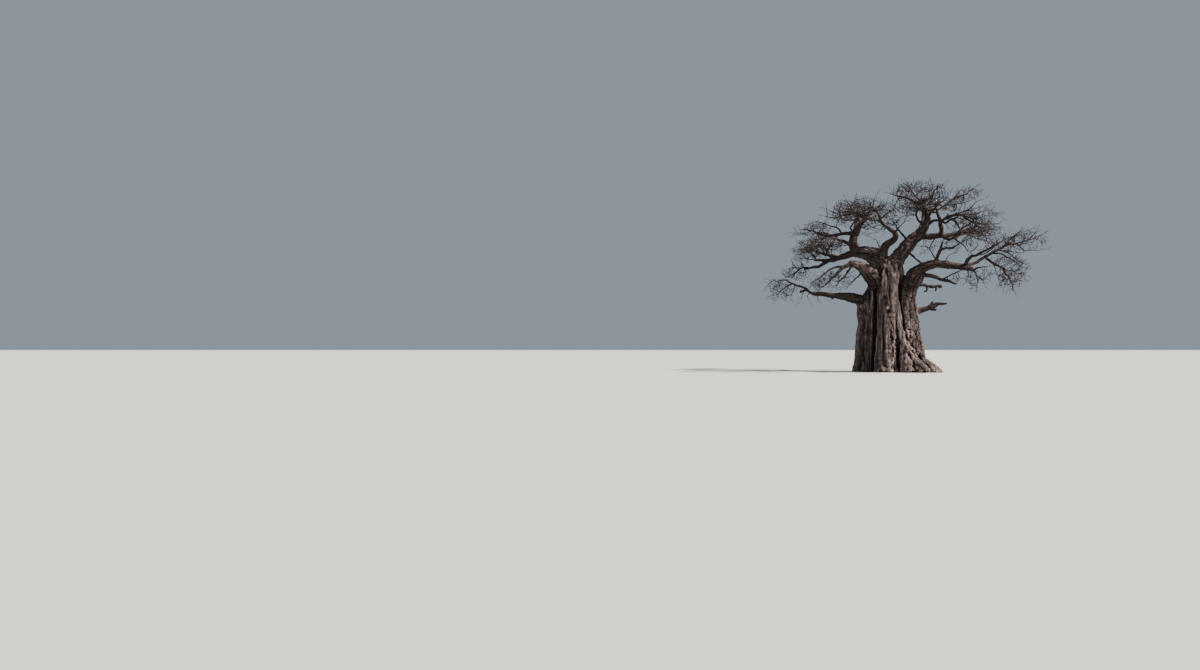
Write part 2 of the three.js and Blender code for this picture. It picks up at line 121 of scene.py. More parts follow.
BOUGHS = {
    "low_left_bough": [(-1.15, 4.75, 0, 1), (-2.2, 5.03, -0.1, 0.68), (-3.2, 5.26, -0.25, 0.46),
        (-4.2, 5.43, -0.4, 0.34), (-5.1, 5.44, -0.5, 0.27), (-5.65, 5.83, -0.6, 0.2),
        (-6.7, 6.35, -0.8, 0.1)],
    "left_shoulder_bough": [(-0.95, 5.6, -0.05, 0.8), (-0.95, 6.15, -0.3, 1.02), (-1.35, 6.8, -0.7, 0.86),
        (-1.95, 7.25, -1, 0.66), (-2.6, 7.52, -1.3, 0.44)],
    "left_shoulder_arm": [(-2.45, 7.5, -1.25, 0.36), (-3, 7.28, -1.5, 0.28), (-3.35, 6.85, -1.8, 0.2),
        (-3.9, 6.4, -2.1, 0.12)],
    "left_bough": [(-0.15, 6.6, 0.2, 0.7), (-0.36, 7.35, 0.15, 1.05), (-0.85, 7.95, 0.3, 0.98),
        (-1.5, 8.25, 0.45, 0.78), (-2.25, 8.28, 0.6, 0.6)],
    "left_rising_bough": [(-2.15, 8.15, 0.6, 0.66), (-2.38, 8.8, 0.65, 0.54), (-2.32, 9.4, 0.7, 0.5),
        (-2.05, 9.9, 0.7, 0.44), (-1.7, 10.35, 0.7, 0.34), (-1.5, 10.9, 0.7, 0.24)],
    "left_arm": [(-2.3, 8.2, 0.6, 0.5), (-3.1, 7.95, 0.9, 0.4), (-4, 7.74, 1.1, 0.3),
        (-4.9, 7.85, 1.1, 0.2)],
    "left_lower_arm": [(-4, 7.72, 1.1, 0.24), (-4.75, 7.4, 1.3, 0.2), (-5.6, 7.28, 1.5, 0.14)],
    "left_upper_arm": [(-2.3, 9.6, 0.7, 0.32), (-3, 9.62, 1.1, 0.26), (-3.9, 9.5, 1.7, 0.2),
        (-4.7, 9.75, 2.2, 0.12)],
    "left_crossing_arm": [(-2.4, 8.65, 0.55, 0.26), (-3.05, 9.12, -0.4, 0.2), (-3.6, 9.3, -1.4, 0.16),
        (-4.5, 8.86, -2.8, 0.12)],
    "front_high_arm": [(-2.15, 9.7, 0.6, 0.28), (-1.98, 10.05, -0.4, 0.22), (-1.85, 10.45, -1.4, 0.17),
        (-2.1, 10.9, -2.5, 0.12)],
    "centre_bough": [(-0.55, 7.35, 0.1, 0.4), (-0.45, 7.9, -0.08, 0.7), (-0.1, 8.7, -0.6, 0.55),
        (0.34, 9.08, -1.1, 0.4), (0.42, 9.45, -1.6, 0.34), (0.05, 9.8, -2.1, 0.26),
        (-0.35, 10.2, -2.6, 0.2), (-0.7, 11, -3.2, 0.1)],
    "right_rising_bough": [(-0.05, 6.5, 0.1, 0.7), (0.16, 7.25, 0.08, 1.12), (0.6, 7.95, 0, 1.06),
        (1.1, 8.6, 0.05, 0.9), (1.6, 9.08, 0.1, 0.74), (2.15, 9.35, 0.15, 0.6)],
    "crown_bough": [(1.95, 9.25, 0.15, 0.62), (2.3, 9.8, 0.2, 0.54), (2.42, 10.35, 0.25, 0.44),
        (2.3, 10.9, 0.3, 0.34), (2.12, 11.75, 0.3, 0.24)],
    "front_top_arm": [(2.4, 10.4, 0.25, 0.3), (2.6, 10.75, -0.6, 0.22), (2.9, 10.95, -1.5, 0.17),
        (3.05, 11.25, -2.5, 0.12)],
    "ring_bough": [(2.1, 9.2, 0.1, 0.46), (2.75, 9.12, 0, 0.36), (3.25, 9.16, -0.1, 0.32),
        (3.44, 9.55, -0.2, 0.26), (3.3, 10.08, -0.3, 0.24)],
    "ring_closing_arm": [(2.45, 9.9, 0.2, 0.24), (2.85, 10.2, 0, 0.18), (3.2, 10.2, -0.2, 0.16)],
    "upper_right_arm": [(3.3, 10.1, -0.3, 0.22), (3.08, 10.85, -0.1, 0.16), (3.6, 11.22, 0.3, 0.13),
        (4.4, 11.75, 0.8, 0.1)],
    "right_upper_arm": [(3.3, 10.08, -0.35, 0.22), (3.75, 10.48, -0.6, 0.18), (4.3, 10.55, -0.9, 0.16),
        (5, 10.35, -1.3, 0.12)],
    "lower_ring_arm": [(3.35, 9.2, -0.1, 0.28), (3.65, 8.88, -0.7, 0.22), (4.05, 8.95, -1.4, 0.2),
        (4.5, 9.2, -2.2, 0.16), (4.9, 9.3, -3, 0.12)],
    "right_bough": [(1.1, 5.2, 0.1, 0.9), (1.22, 5.8, 0, 1.16), (1.6, 6.5, -0.05, 1.06),
        (2.15, 7.02, -0.15, 0.72), (2.9, 7.3, -0.25, 0.56), (3.7, 7.24, -0.35, 0.5),
        (4.5, 7.05, -0.45, 0.42), (5.25, 6.85, -0.55, 0.28)],
    "right_outer_arm": [(4.6, 7.05, -0.45, 0.34), (5.3, 7.3, -0.3, 0.26), (6.1, 7.68, -0.1, 0.2),
        (7.4, 8.4, 0.3, 0.12)],
    "right_drooping_arm": [(5.95, 7.6, -0.25, 0.2), (6.4, 7.25, -0.6, 0.16), (7.1, 6.85, -1, 0.1)],
    "right_knee_arm": [(4.75, 7.1, -0.45, 0.26), (5, 7.6, -0.9, 0.2), (5.5, 7.78, -1.5, 0.17),
        (6.4, 8.25, -2.5, 0.12)],
    "right_upright_arm": [(2.95, 7.4, -0.25, 0.26), (3.15, 8.05, -0.4, 0.2), (3.4, 8.75, -0.6, 0.1)],
    "right_upper_stub": [(2.1, 6.6, -0.2, 0.36), (2.8, 6.43, -0.6, 0.26), (3.4, 6.18, -0.9, 0.22),
        (4.2, 5.95, -1.2, 0.15)],
    "right_middle_stub": [(1.5, 5.95, 0.1, 0.4), (2.1, 5.88, 0.4, 0.27), (2.75, 5.76, 0.6, 0.22),
        (3.25, 5.78, 0.8, 0.12)],
    "right_lower_stub": [(1.4, 4.05, 0.2, 0.6), (2.1, 4.24, 0.3, 0.44), (2.65, 4.38, 0.4, 0.34),
        (3.4, 4.58, 0.5, 0.12)],
    "back_left_bough": [(-0.25, 6.4, 0.6, 0.7), (-0.4, 7.15, 0.8, 1.1), (-1.2, 7.95, 1.8, 0.84),
        (-2.3, 8.22, 3, 0.56), (-3.3, 8, 4.1, 0.34), (-4.25, 8.2, 5, 0.24)],
    "back_rising_arm": [(-1.8, 8.15, 2.5, 0.54), (-2.25, 8.9, 3.1, 0.44), (-2.25, 9.7, 3.8, 0.34),
        (-2, 10.6, 4.7, 0.2)],
    "back_right_bough": [(0.3, 6.4, 0.6, 0.7), (0.4, 7.25, 0.75, 1.1), (0.95, 8.3, 1.6, 0.84),
        (1.9, 9.25, 2.8, 0.62), (2.3, 10.3, 3.8, 0.4), (2.2, 11.1, 4.5, 0.26)],
    "back_right_arm": [(1.8, 9.12, 2.65, 0.5), (2.8, 9.15, 3.4, 0.42), (3.8, 9.15, 4, 0.34),
        (5, 9.4, 4.7, 0.22)],
}

# Branches that show one by one in the crown, thinner than the boughs that carry them.
BRANCHES = [
    # far left, out of the low bough
    [(-6.6, 6.3, -0.78, 0.11), (-7, 6.5, -0.85, 0.1), (-7.5, 6.45, -0.95, 0.07), (-8, 6.42, -1.05, 0.05),
     (-8.25, 6.58, -1.1, 0.02)],
    [(-7.9, 6.42, -1.03, 0.05), (-8.15, 6.2, -1.1, 0.035), (-8.3, 6.05, -1.15, 0.015)],
    [(-6.45, 6.22, -0.75, 0.12), (-7, 5.92, -0.9, 0.09), (-7.4, 5.6, -1, 0.06), (-7.5, 5.2, -1.1, 0.03),
     (-7.62, 5, -1.1, 0.015)],
    [(-7.3, 5.7, -1, 0.05), (-7.75, 5.55, -0.8, 0.03), (-8, 5.35, -0.75, 0.015)],
    [(-6.3, 6.15, -0.7, 0.08), (-6.35, 5.85, -0.9, 0.06), (-6.55, 5.45, -1, 0.03), (-6.5, 5.2, -1, 0.015)],
    [(-5.45, 5.72, -0.58, 0.17), (-5.7, 5.72, -0.6, 0.15), (-5.95, 5.6, -0.62, 0.1)],
    [(-5.6, 5.75, -0.6, 0.08), (-5.8, 5.4, -0.55, 0.05), (-5.9, 5.05, -0.5, 0.02)],
    [(-5.3, 5.5, -0.5, 0.07), (-5.42, 5.3, -0.5, 0.05), (-5.3, 5, -0.45, 0.02)],
    [(-4.65, 5.42, -0.45, 0.06), (-4.75, 5.2, -0.45, 0.05), (-4.68, 4.98, -0.4, 0.02)],
    [(-3.6, 5.3, -0.3, 0.24), (-3.72, 5.12, -0.32, 0.2), (-3.76, 5.02, -0.32, 0.12)],
    # left, out of the level arm
    [(-5.4, 7.3, 1.45, 0.15), (-5.9, 7.3, 1.5, 0.11), (-6.25, 6.98, 1.5, 0.08), (-6.6, 6.8, 1.5, 0.05),
     (-7, 6.62, 1.5, 0.02)],
    [(-5.8, 7.3, 1.5, 0.08), (-6.35, 7.36, 1.55, 0.05), (-6.9, 7.22, 1.6, 0.02)],
    [(-6.15, 7.05, 1.5, 0.07), (-6.45, 6.7, 1.45, 0.05), (-6.7, 6.4, 1.4, 0.02)],
    [(-4.8, 7.82, 1.1, 0.18), (-5.1, 8.25, 1, 0.11), (-5.5, 8.42, 0.9, 0.08), (-6, 8.35, 0.9, 0.05),
     (-6.3, 8.2, 0.9, 0.02)],
    [(-5.1, 8.25, 1, 0.09), (-5.2, 8.7, 0.9, 0.06), (-5.6, 9.05, 0.9, 0.02)],
    [(-4.7, 7.8, 1.1, 0.1), (-5.3, 7.95, 1, 0.07), (-5.9, 7.9, 0.95, 0.03)],
    [(-4.4, 8.9, -2.7, 0.12), (-4.9, 8.65, -3.1, 0.1), (-5.6, 8.55, -3.5, 0.06), (-6, 8.65, -3.7, 0.02)],
    [(-3.5, 9.3, -1.2, 0.1), (-4, 9.42, -1.8, 0.07), (-4.6, 9.3, -2.4, 0.04), (-5.2, 9, -2.9, 0.02)],
    # upper left
    [(-4.6, 9.72, 2.15, 0.13), (-5.2, 9.95, 2.3, 0.09), (-5.6, 10.08, 2.3, 0.05), (-6.1, 9.95, 2.35, 0.02)],
    [(-5.1, 9.9, 2.28, 0.06), (-5.8, 9.72, 2.4, 0.035), (-6.35, 9.7, 2.4, 0.015)],
    [(-3.1, 9.65, 1.15, 0.13), (-3.45, 10.08, 1.3, 0.1), (-4, 10.3, 1.5, 0.08), (-4.85, 10.52, 1.8, 0.05),
     (-5.3, 10.35, 2, 0.02)],
    [(-3.9, 9.5, 1.7, 0.12), (-4.5, 9.3, 1.9, 0.07), (-5.2, 9.35, 2, 0.03)],
    # the high left umbrella
    [(-1.66, 10.72, 0.7, 0.22), (-2.3, 10.93, 0.6, 0.16), (-3, 10.86, 0.5, 0.12), (-3.6, 10.72, 0.5, 0.08),
     (-4.3, 10.9, 0.5, 0.03)],
    [(-1.5, 10.8, 0.7, 0.22), (-1.1, 11.08, 0.7, 0.14), (-0.6, 11.12, 0.7, 0.1), (-0.2, 11.48, 0.7, 0.06),
     (0.15, 11.7, 0.7, 0.02)],
    [(-2.2, 10.93, 0.6, 0.1), (-2.5, 11.4, 0.5, 0.07), (-2.8, 12.1, 0.4, 0.02)],
    [(-1.1, 11.08, 0.7, 0.09), (-0.9, 11.6, 0.8, 0.06), (-0.8, 12.2, 0.8, 0.02)],
    [(-3, 10.86, 0.5, 0.09), (-3.6, 11.15, 0.4, 0.06), (-4.1, 11.4, 0.3, 0.02)],
    [(-1.55, 10.85, 0.7, 0.14), (-1.8, 11.4, 0.9, 0.08), (-2, 11.85, 1, 0.03)],
    [(-2.35, 9.75, 0.6, 0.14), (-2.5, 10.05, 0.6, 0.12), (-2.1, 10.55, 0.6, 0.12),
     (-1.85, 10.75, 0.65, 0.1)],
    # hanging below the shoulder
    [(-2.4, 7.4, -1.2, 0.2), (-2.62, 7, -1.3, 0.15), (-2.9, 6.6, -1.5, 0.12), (-3.3, 6.25, -1.8, 0.08),
     (-3.65, 5.85, -1.9, 0.03)],
    [(-2.8, 7.38, -1.4, 0.2), (-3.7, 7.2, -1.8, 0.14), (-4.3, 6.8, -2.1, 0.1), (-4.8, 6.42, -2.3, 0.06),
     (-5.2, 6.15, -2.4, 0.02)],
    [(-1.75, 6.95, -0.85, 0.12), (-2, 6.6, -1, 0.1), (-2.4, 6.2, -1.1, 0.06), (-2.6, 5.85, -1.2, 0.02)],
    [(-3.8, 6.48, -2.05, 0.13), (-4.1, 6.15, -2.2, 0.09), (-4.45, 5.9, -2.3, 0.03)],
    # centre
    [(0.42, 9.42, -1.6, 0.14), (0.6, 9.8, -1.9, 0.1), (0.95, 10.15, -2.3, 0.06), (1.3, 10.3, -2.8, 0.02)],
    [(-0.3, 10.15, -2.55, 0.12), (-0.8, 10.4, -3, 0.07), (-1.35, 10.5, -3.5, 0.03)],
    [(-0.5, 10.5, -2.8, 0.1), (-0.1, 10.9, -3.4, 0.07), (0.3, 11.2, -4, 0.03)],
    [(-0.65, 10.9, -3.15, 0.1), (-0.9, 11.2, -3.8, 0.07), (-0.7, 11.35, -4.8, 0.04),
     (-0.8, 11.3, -5.6, 0.02)],
    [(1.08, 9.1, 0.1, 0.16), (0.72, 9.6, 0.2, 0.12), (0.48, 9.85, 0.3, 0.1), (0.42, 10.15, 0.4, 0.05)],
    [(0.15, 10, 0.6, 0.03), (0.42, 10.05, 0.4, 0.05), (0.3, 10.4, 0.5, 0.02)],
    # the nest at the top
    [(2.18, 11.25, 0.3, 0.26), (1.7, 11.52, 0.3, 0.17), (1.2, 11.76, 0.2, 0.13), (0.75, 11.98, 0.2, 0.1),
     (0.3, 12.08, 0.2, 0.07), (0, 12.25, 0.2, 0.02)],
    [(2.12, 11.4, 0.3, 0.2), (1.95, 11.7, 0.3, 0.14), (1.7, 11.95, 0.3, 0.1), (1.5, 12.3, 0.3, 0.08),
     (1.2, 12.7, 0.3, 0.06), (0.95, 12.92, 0.3, 0.03)],
    [(2.18, 11.4, 0.3, 0.22), (2.3, 11.6, 0.3, 0.18), (2.7, 11.75, 0.2, 0.14), (2.85, 12.1, 0.1, 0.09),
     (3.05, 12.4, 0.1, 0.06), (3.5, 12.68, 0, 0.02)],
    [(2.6, 11.72, 0.2, 0.1), (3.1, 11.7, 0.1, 0.07), (3.55, 11.9, 0, 0.03)],
    [(0.75, 11.98, 0.2, 0.07), (0.95, 12.3, 0.2, 0.04), (1.2, 12.5, 0.2, 0.02)],
    [(1.7, 11.95, 0.3, 0.08), (2.1, 12.25, 0.4, 0.05), (2.4, 12.6, 0.4, 0.02)],
    [(2.2, 9.95, 0.2, 0.17), (1.9, 10.2, 0.1, 0.14), (1.74, 10.6, 0, 0.12), (1.9, 10.95, 0.1, 0.13),
     (2.12, 11.2, 0.2, 0.14)],
    [(1.74, 10.65, 0, 0.06), (1.3, 10.75, -0.1, 0.04), (0.75, 10.95, -0.2, 0.02)],
    [(0.95, 11.88, 0.25, 0.06), (0.65, 11.72, 0.5, 0.05), (0.5, 11.4, 0.7, 0.04), (0.3, 11.05, 0.8, 0.015)],
    # upper right
    [(4.3, 11.68, 0.75, 0.11), (4.85, 11.85, 0.9, 0.09), (5.1, 12.1, 0.95, 0.06), (5.6, 12.42, 1, 0.02)],
    [(4.2, 11.62, 0.7, 0.08), (4.4, 12, 0.8, 0.06), (4.6, 12.25, 0.85, 0.04)],
    [(3.08, 10.8, -0.1, 0.13), (2.9, 11.15, -0.15, 0.11), (2.65, 11.65, -0.1, 0.09)],
    [(2.45, 11, 0.2, 0.1), (2.7, 10.82, 0.05, 0.1), (3.05, 10.78, -0.1, 0.12)],
    [(3.6, 11.2, 0.3, 0.08), (4.3, 11.25, 0.5, 0.06), (5, 11.35, 0.6, 0.04), (5.5, 11.6, 0.7, 0.02)],
    # right
    [(4.6, 10.45, -1.1, 0.14), (5.1, 10.08, -1.3, 0.12), (5.5, 9.9, -1.4, 0.1), (6, 9.8, -1.4, 0.07),
     (6.5, 9.76, -1.4, 0.05), (7.05, 9.95, -1.4, 0.02)],
    [(4.2, 10.55, -0.85, 0.1), (4.85, 10.75, -1, 0.08), (5.3, 11.15, -1.1, 0.05),
     (5.95, 11.45, -1.2, 0.02)],
    [(4.85, 10.72, -1, 0.06), (5.4, 10.86, -1.1, 0.04), (6.05, 11.02, -1.2, 0.02)],
    [(4.9, 10.35, -1.25, 0.1), (5.5, 10.18, -1.3, 0.07), (6, 10.32, -1.3, 0.04), (6.55, 10.42, -1.3, 0.02)],
    [(4.5, 10.5, -1, 0.08), (5.2, 10.5, -1.2, 0.06), (5.9, 10.62, -1.3, 0.03), (6.3, 10.7, -1.3, 0.015)],
    [(4, 8.95, -1.35, 0.16), (4.35, 9.35, -1.3, 0.14), (4.75, 9.68, -1.3, 0.11), (5.2, 9.98, -1.3, 0.08)],
    [(3.35, 10.1, -0.35, 0.16), (3.6, 10.05, -0.45, 0.15), (3.9, 10.2, -0.6, 0.13), (4.2, 10, -0.9, 0.11),
     (4.38, 9.7, -1.15, 0.1), (4.45, 9.5, -1.28, 0.1)],
    [(4.25, 9.25, -1.3, 0.09), (4.7, 9.25, -1.5, 0.08), (5.1, 9.1, -1.7, 0.06), (5.5, 8.85, -1.9, 0.03)],
    [(4.1, 9, -1.4, 0.1), (4.45, 8.68, -1.6, 0.08), (4.85, 8.3, -1.7, 0.06), (4.98, 7.9, -1.75, 0.04)],
    [(4.8, 9.28, -2.9, 0.13), (5.5, 9.15, -3.5, 0.07), (6.1, 9, -3.9, 0.02)],
    [(3.15, 8.1, -0.4, 0.18), (3.5, 8.27, -0.5, 0.15), (4, 8.32, -0.6, 0.13), (4.3, 8.48, -0.7, 0.1),
     (4.65, 8.68, -0.9, 0.07), (5.05, 8.92, -1, 0.04), (5.35, 9, -1.1, 0.02)],
    [(2.95, 7.6, -0.25, 0.08), (2.75, 8, -0.3, 0.07), (2.56, 8.3, -0.35, 0.06), (2.66, 8.52, -0.3, 0.07),
     (2.88, 8.95, -0.1, 0.08)],
    [(1.3, 8.1, 0.05, 0.16), (1.5, 7.87, 0, 0.13), (1.78, 7.65, -0.05, 0.11), (2.1, 7.4, -0.1, 0.12)],
    [(3.6, 7.5, -0.4, 0.06), (3.75, 7.8, -0.5, 0.045), (4.15, 8, -0.6, 0.03), (4.3, 8.25, -0.6, 0.015)],
    [(3.3, 8.45, -0.5, 0.08), (3.38, 8.75, -0.55, 0.05), (3.6, 8.95, -0.6, 0.02)],
    [(2.62, 8.38, -0.35, 0.04), (2.1, 8.5, -0.2, 0.03), (1.75, 8.55, -0.1, 0.02)],
    # far right
    [(6.9, 8.15, 0.15, 0.16), (7.2, 8.4, 0.25, 0.13), (7.6, 8.79, 0.4, 0.1), (7.93, 9.08, 0.5, 0.07),
     (8.2, 9.36, 0.6, 0.025)],
    [(7.3, 8.36, 0.28, 0.12), (7.65, 8.43, 0.4, 0.1), (8.1, 8.52, 0.5, 0.08), (8.5, 8.64, 0.6, 0.065),
     (9, 8.85, 0.7, 0.045), (9.3, 8.98, 0.75, 0.03), (9.45, 9.08, 0.8, 0.015)],
    [(7.85, 8.45, 0.45, 0.07), (8.2, 8.02, 0.4, 0.055), (8.6, 7.93, 0.4, 0.04), (9.1, 7.96, 0.4, 0.03),
     (9.4, 8, 0.4, 0.015)],
    [(8.5, 8.64, 0.6, 0.05), (8.8, 8.98, 0.6, 0.035), (9, 9.25, 0.6, 0.015)],
    [(6.4, 7.85, 0, 0.12), (6.9, 7.78, 0, 0.09), (7.3, 7.6, -0.05, 0.07), (7.65, 7.33, -0.1, 0.06),
     (7.95, 7.05, -0.2, 0.04), (8.25, 6.88, -0.2, 0.02)],
    [(6.95, 6.9, -0.95, 0.13), (7.1, 6.7, -1, 0.12), (7.3, 6.35, -1.05, 0.1), (7.47, 6.08, -1.1, 0.09),
     (7.56, 5.75, -1.15, 0.06), (7.68, 5.3, -1.2, 0.03)],
    [(7.15, 6.75, -1, 0.07), (7.6, 6.6, -1, 0.05), (8, 6.42, -1, 0.03), (8.25, 6.4, -1, 0.015)],
    [(7.45, 6.35, -1.08, 0.06), (7.15, 5.95, -1.1, 0.04), (7.05, 5.6, -1.1, 0.02)],
    [(6.4, 7.24, -0.6, 0.07), (6.55, 6.8, -0.7, 0.05), (6.7, 6.3, -0.8, 0.02)],
    [(6.25, 8.18, -2.35, 0.13), (6.8, 8.5, -2.8, 0.08), (7.4, 8.85, -3.2, 0.04), (7.9, 9, -3.5, 0.02)],
    [(5.5, 7.78, -1.5, 0.12), (6, 7.9, -1.7, 0.08), (6.6, 8.35, -1.8, 0.04)],
    [(5.1, 6.88, -0.54, 0.18), (5.3, 6.82, -0.56, 0.14), (5.65, 6.93, -0.6, 0.09), (6.15, 6.96, -0.6, 0.05),
     (6.4, 7.05, -0.6, 0.02)],
    [(5.22, 6.8, -0.55, 0.14), (5.42, 6.5, -0.58, 0.08), (5.46, 6, -0.6, 0.05), (5.42, 5.55, -0.6, 0.02)],
    [(5.42, 6.45, -0.58, 0.06), (5.8, 6.1, -0.6, 0.04), (5.95, 5.75, -0.6, 0.02)],
    [(4.9, 6.9, -0.5, 0.06), (4.95, 6.5, -0.55, 0.04), (4.8, 6.05, -0.6, 0.02)],
    [(8.1, 8.5, 0.5, 0.05), (8.35, 8.38, 0.5, 0.035), (8.65, 8.4, 0.5, 0.015)],
    [(6.5, 8.05, 0.05, 0.09), (7.1, 7.98, 0, 0.07), (7.7, 7.86, 0, 0.05), (8.1, 7.78, 0.1, 0.035),
     (8.4, 7.95, 0.1, 0.015)],
    [(7, 8, 0, 0.07), (7.5, 7.65, -0.1, 0.06), (7.95, 7.25, -0.2, 0.04), (8.3, 7.05, -0.2, 0.015)],
    [(6.3, 8.15, -2.3, 0.06), (6.5, 8.45, -2.4, 0.05), (6.9, 8.6, -2.5, 0.03), (7.1, 8.85, -2.5, 0.015)],
    [(6.85, 6.95, -0.9, 0.06), (6.8, 6.5, -0.95, 0.045), (6.7, 6.1, -1, 0.03), (6.75, 5.92, -1, 0.015)],
    [(4.9, 9.28, -1.6, 0.06), (5.5, 9.44, -1.5, 0.05), (6.1, 9.5, -1.4, 0.03), (6.35, 9.6, -1.4, 0.015)],
    [(5.2, 10, -1.35, 0.06), (5.5, 9.65, -1.3, 0.05), (6, 9.42, -1.3, 0.03), (6.15, 9.45, -1.3, 0.015)],
    [(5.5, 8.88, -1.9, 0.05), (5.9, 8.72, -1.9, 0.04), (6.3, 8.62, -1.9, 0.02)],
    [(5.1, 8, -1, 0.05), (5.45, 8.3, -1, 0.04), (5.5, 8.8, -1.1, 0.02)],
    [(3.65, 6.42, -0.95, 0.05), (4.2, 6.65, -0.9, 0.045), (4.6, 6.88, -0.7, 0.06)],
    [(4.3, 6.68, -0.9, 0.04), (4.5, 6.3, -0.95, 0.03), (4.95, 6.12, -1, 0.02), (5.1, 5.92, -1, 0.015)],
    # left, in the gaps between masses
    [(-3.3, 9.48, 1.3, 0.1), (-3.85, 9.25, 1.5, 0.09), (-4.25, 9.02, 1.6, 0.08), (-4.7, 8.82, 1.7, 0.05),
     (-5.2, 8.75, 1.7, 0.02)],
    [(-3.4, 9.42, -0.9, 0.05), (-3.7, 8.95, -0.8, 0.04), (-4, 8.6, -0.7, 0.03), (-4.15, 8.3, -0.7, 0.015)],
    [(-3.45, 10.1, 1.3, 0.06), (-3.35, 10.4, 1.1, 0.05), (-3.1, 10.75, 0.8, 0.05)],
    [(-4, 9.6, 1.8, 0.08), (-4.6, 9.66, 2, 0.06), (-5.2, 9.66, 2.1, 0.045), (-5.9, 9.72, 2.2, 0.03),
     (-6.45, 9.8, 2.2, 0.015)],
    [(-2.45, 11.5, 0.5, 0.05), (-2.2, 11.8, 0.4, 0.03), (-2.1, 12.1, 0.3, 0.015)],
    [(-4, 10.8, 0.5, 0.05), (-4.08, 11.25, 0.5, 0.03), (-4.1, 11.6, 0.5, 0.015)],
    [(-0.4, 10.12, -2.5, 0.05), (-0.9, 10, -2, 0.04), (-1.5, 9.75, -1.5, 0.03), (-1.85, 9.5, -1.2, 0.015)],
    [(-0.8, 8.2, 0.35, 0.08), (-0.68, 8.6, 0.3, 0.06), (-0.8, 8.95, 0.3, 0.045), (-1.3, 9.35, 0.1, 0.02)],
    [(-0.3, 9.98, -2.3, 0.05), (-0.7, 9.65, -1.8, 0.03), (-1.3, 9.5, -1.3, 0.015)],
    [(0.48, 9.95, 0.3, 0.05), (0.72, 10.5, 0.2, 0.045), (1.2, 10.68, 0.1, 0.05), (1.74, 10.66, 0, 0.06)],
    [(0.42, 10.15, 0.4, 0.05), (0.1, 10.55, 0.4, 0.035), (0, 10.9, 0.4, 0.015)],
    [(-0.05, 9.85, -2, 0.06), (-0.5, 9.78, -1.6, 0.045), (-1, 9.95, -1.2, 0.03), (-1.4, 10.25, -1, 0.015)],
    [(-2, 9.9, 0.6, 0.06), (-1.6, 9.95, 0.4, 0.045), (-1.2, 10.2, 0.2, 0.03), (-0.9, 10.2, 0.1, 0.015)],
    # right stubs
    [(3.35, 6.22, -0.88, 0.1), (3.85, 6.5, -1, 0.06), (4.55, 6.85, -1.2, 0.02)],
]

# Bits of the broken stubs, with free round ends.
STUB_BITS = [
    [(2.35, 5.85, 0.48, 0.14), (2.4, 5.62, 0.48, 0.11), (2.34, 5.46, 0.46, 0.13), (2.25, 5.42, 0.45, 0.1)],
    [(2.9, 5.77, 0.66, 0.14), (2.98, 5.62, 0.66, 0.1), (2.93, 5.5, 0.66, 0.11)],
    [(2.4, 4.34, 0.36, 0.28), (2.62, 4.32, 0.4, 0.25), (2.82, 4.27, 0.42, 0.21), (2.95, 4.21, 0.44, 0.18)],
    [(2.5, 4.36, 0.36, 0.28), (2.75, 4.5, 0.4, 0.23), (3.02, 4.6, 0.43, 0.2), (3.22, 4.6, 0.45, 0.22),
     (3.42, 4.6, 0.48, 0.17), (3.55, 4.63, 0.5, 0.12)],
    [(2.6, 4.42, 0.38, 0.14), (2.68, 4.62, 0.37, 0.13), (2.76, 4.7, 0.38, 0.1)],
    [(3.1, 5.78, 0.74, 0.18), (3.22, 5.72, 0.8, 0.16), (3.3, 5.76, 0.84, 0.13)],
]

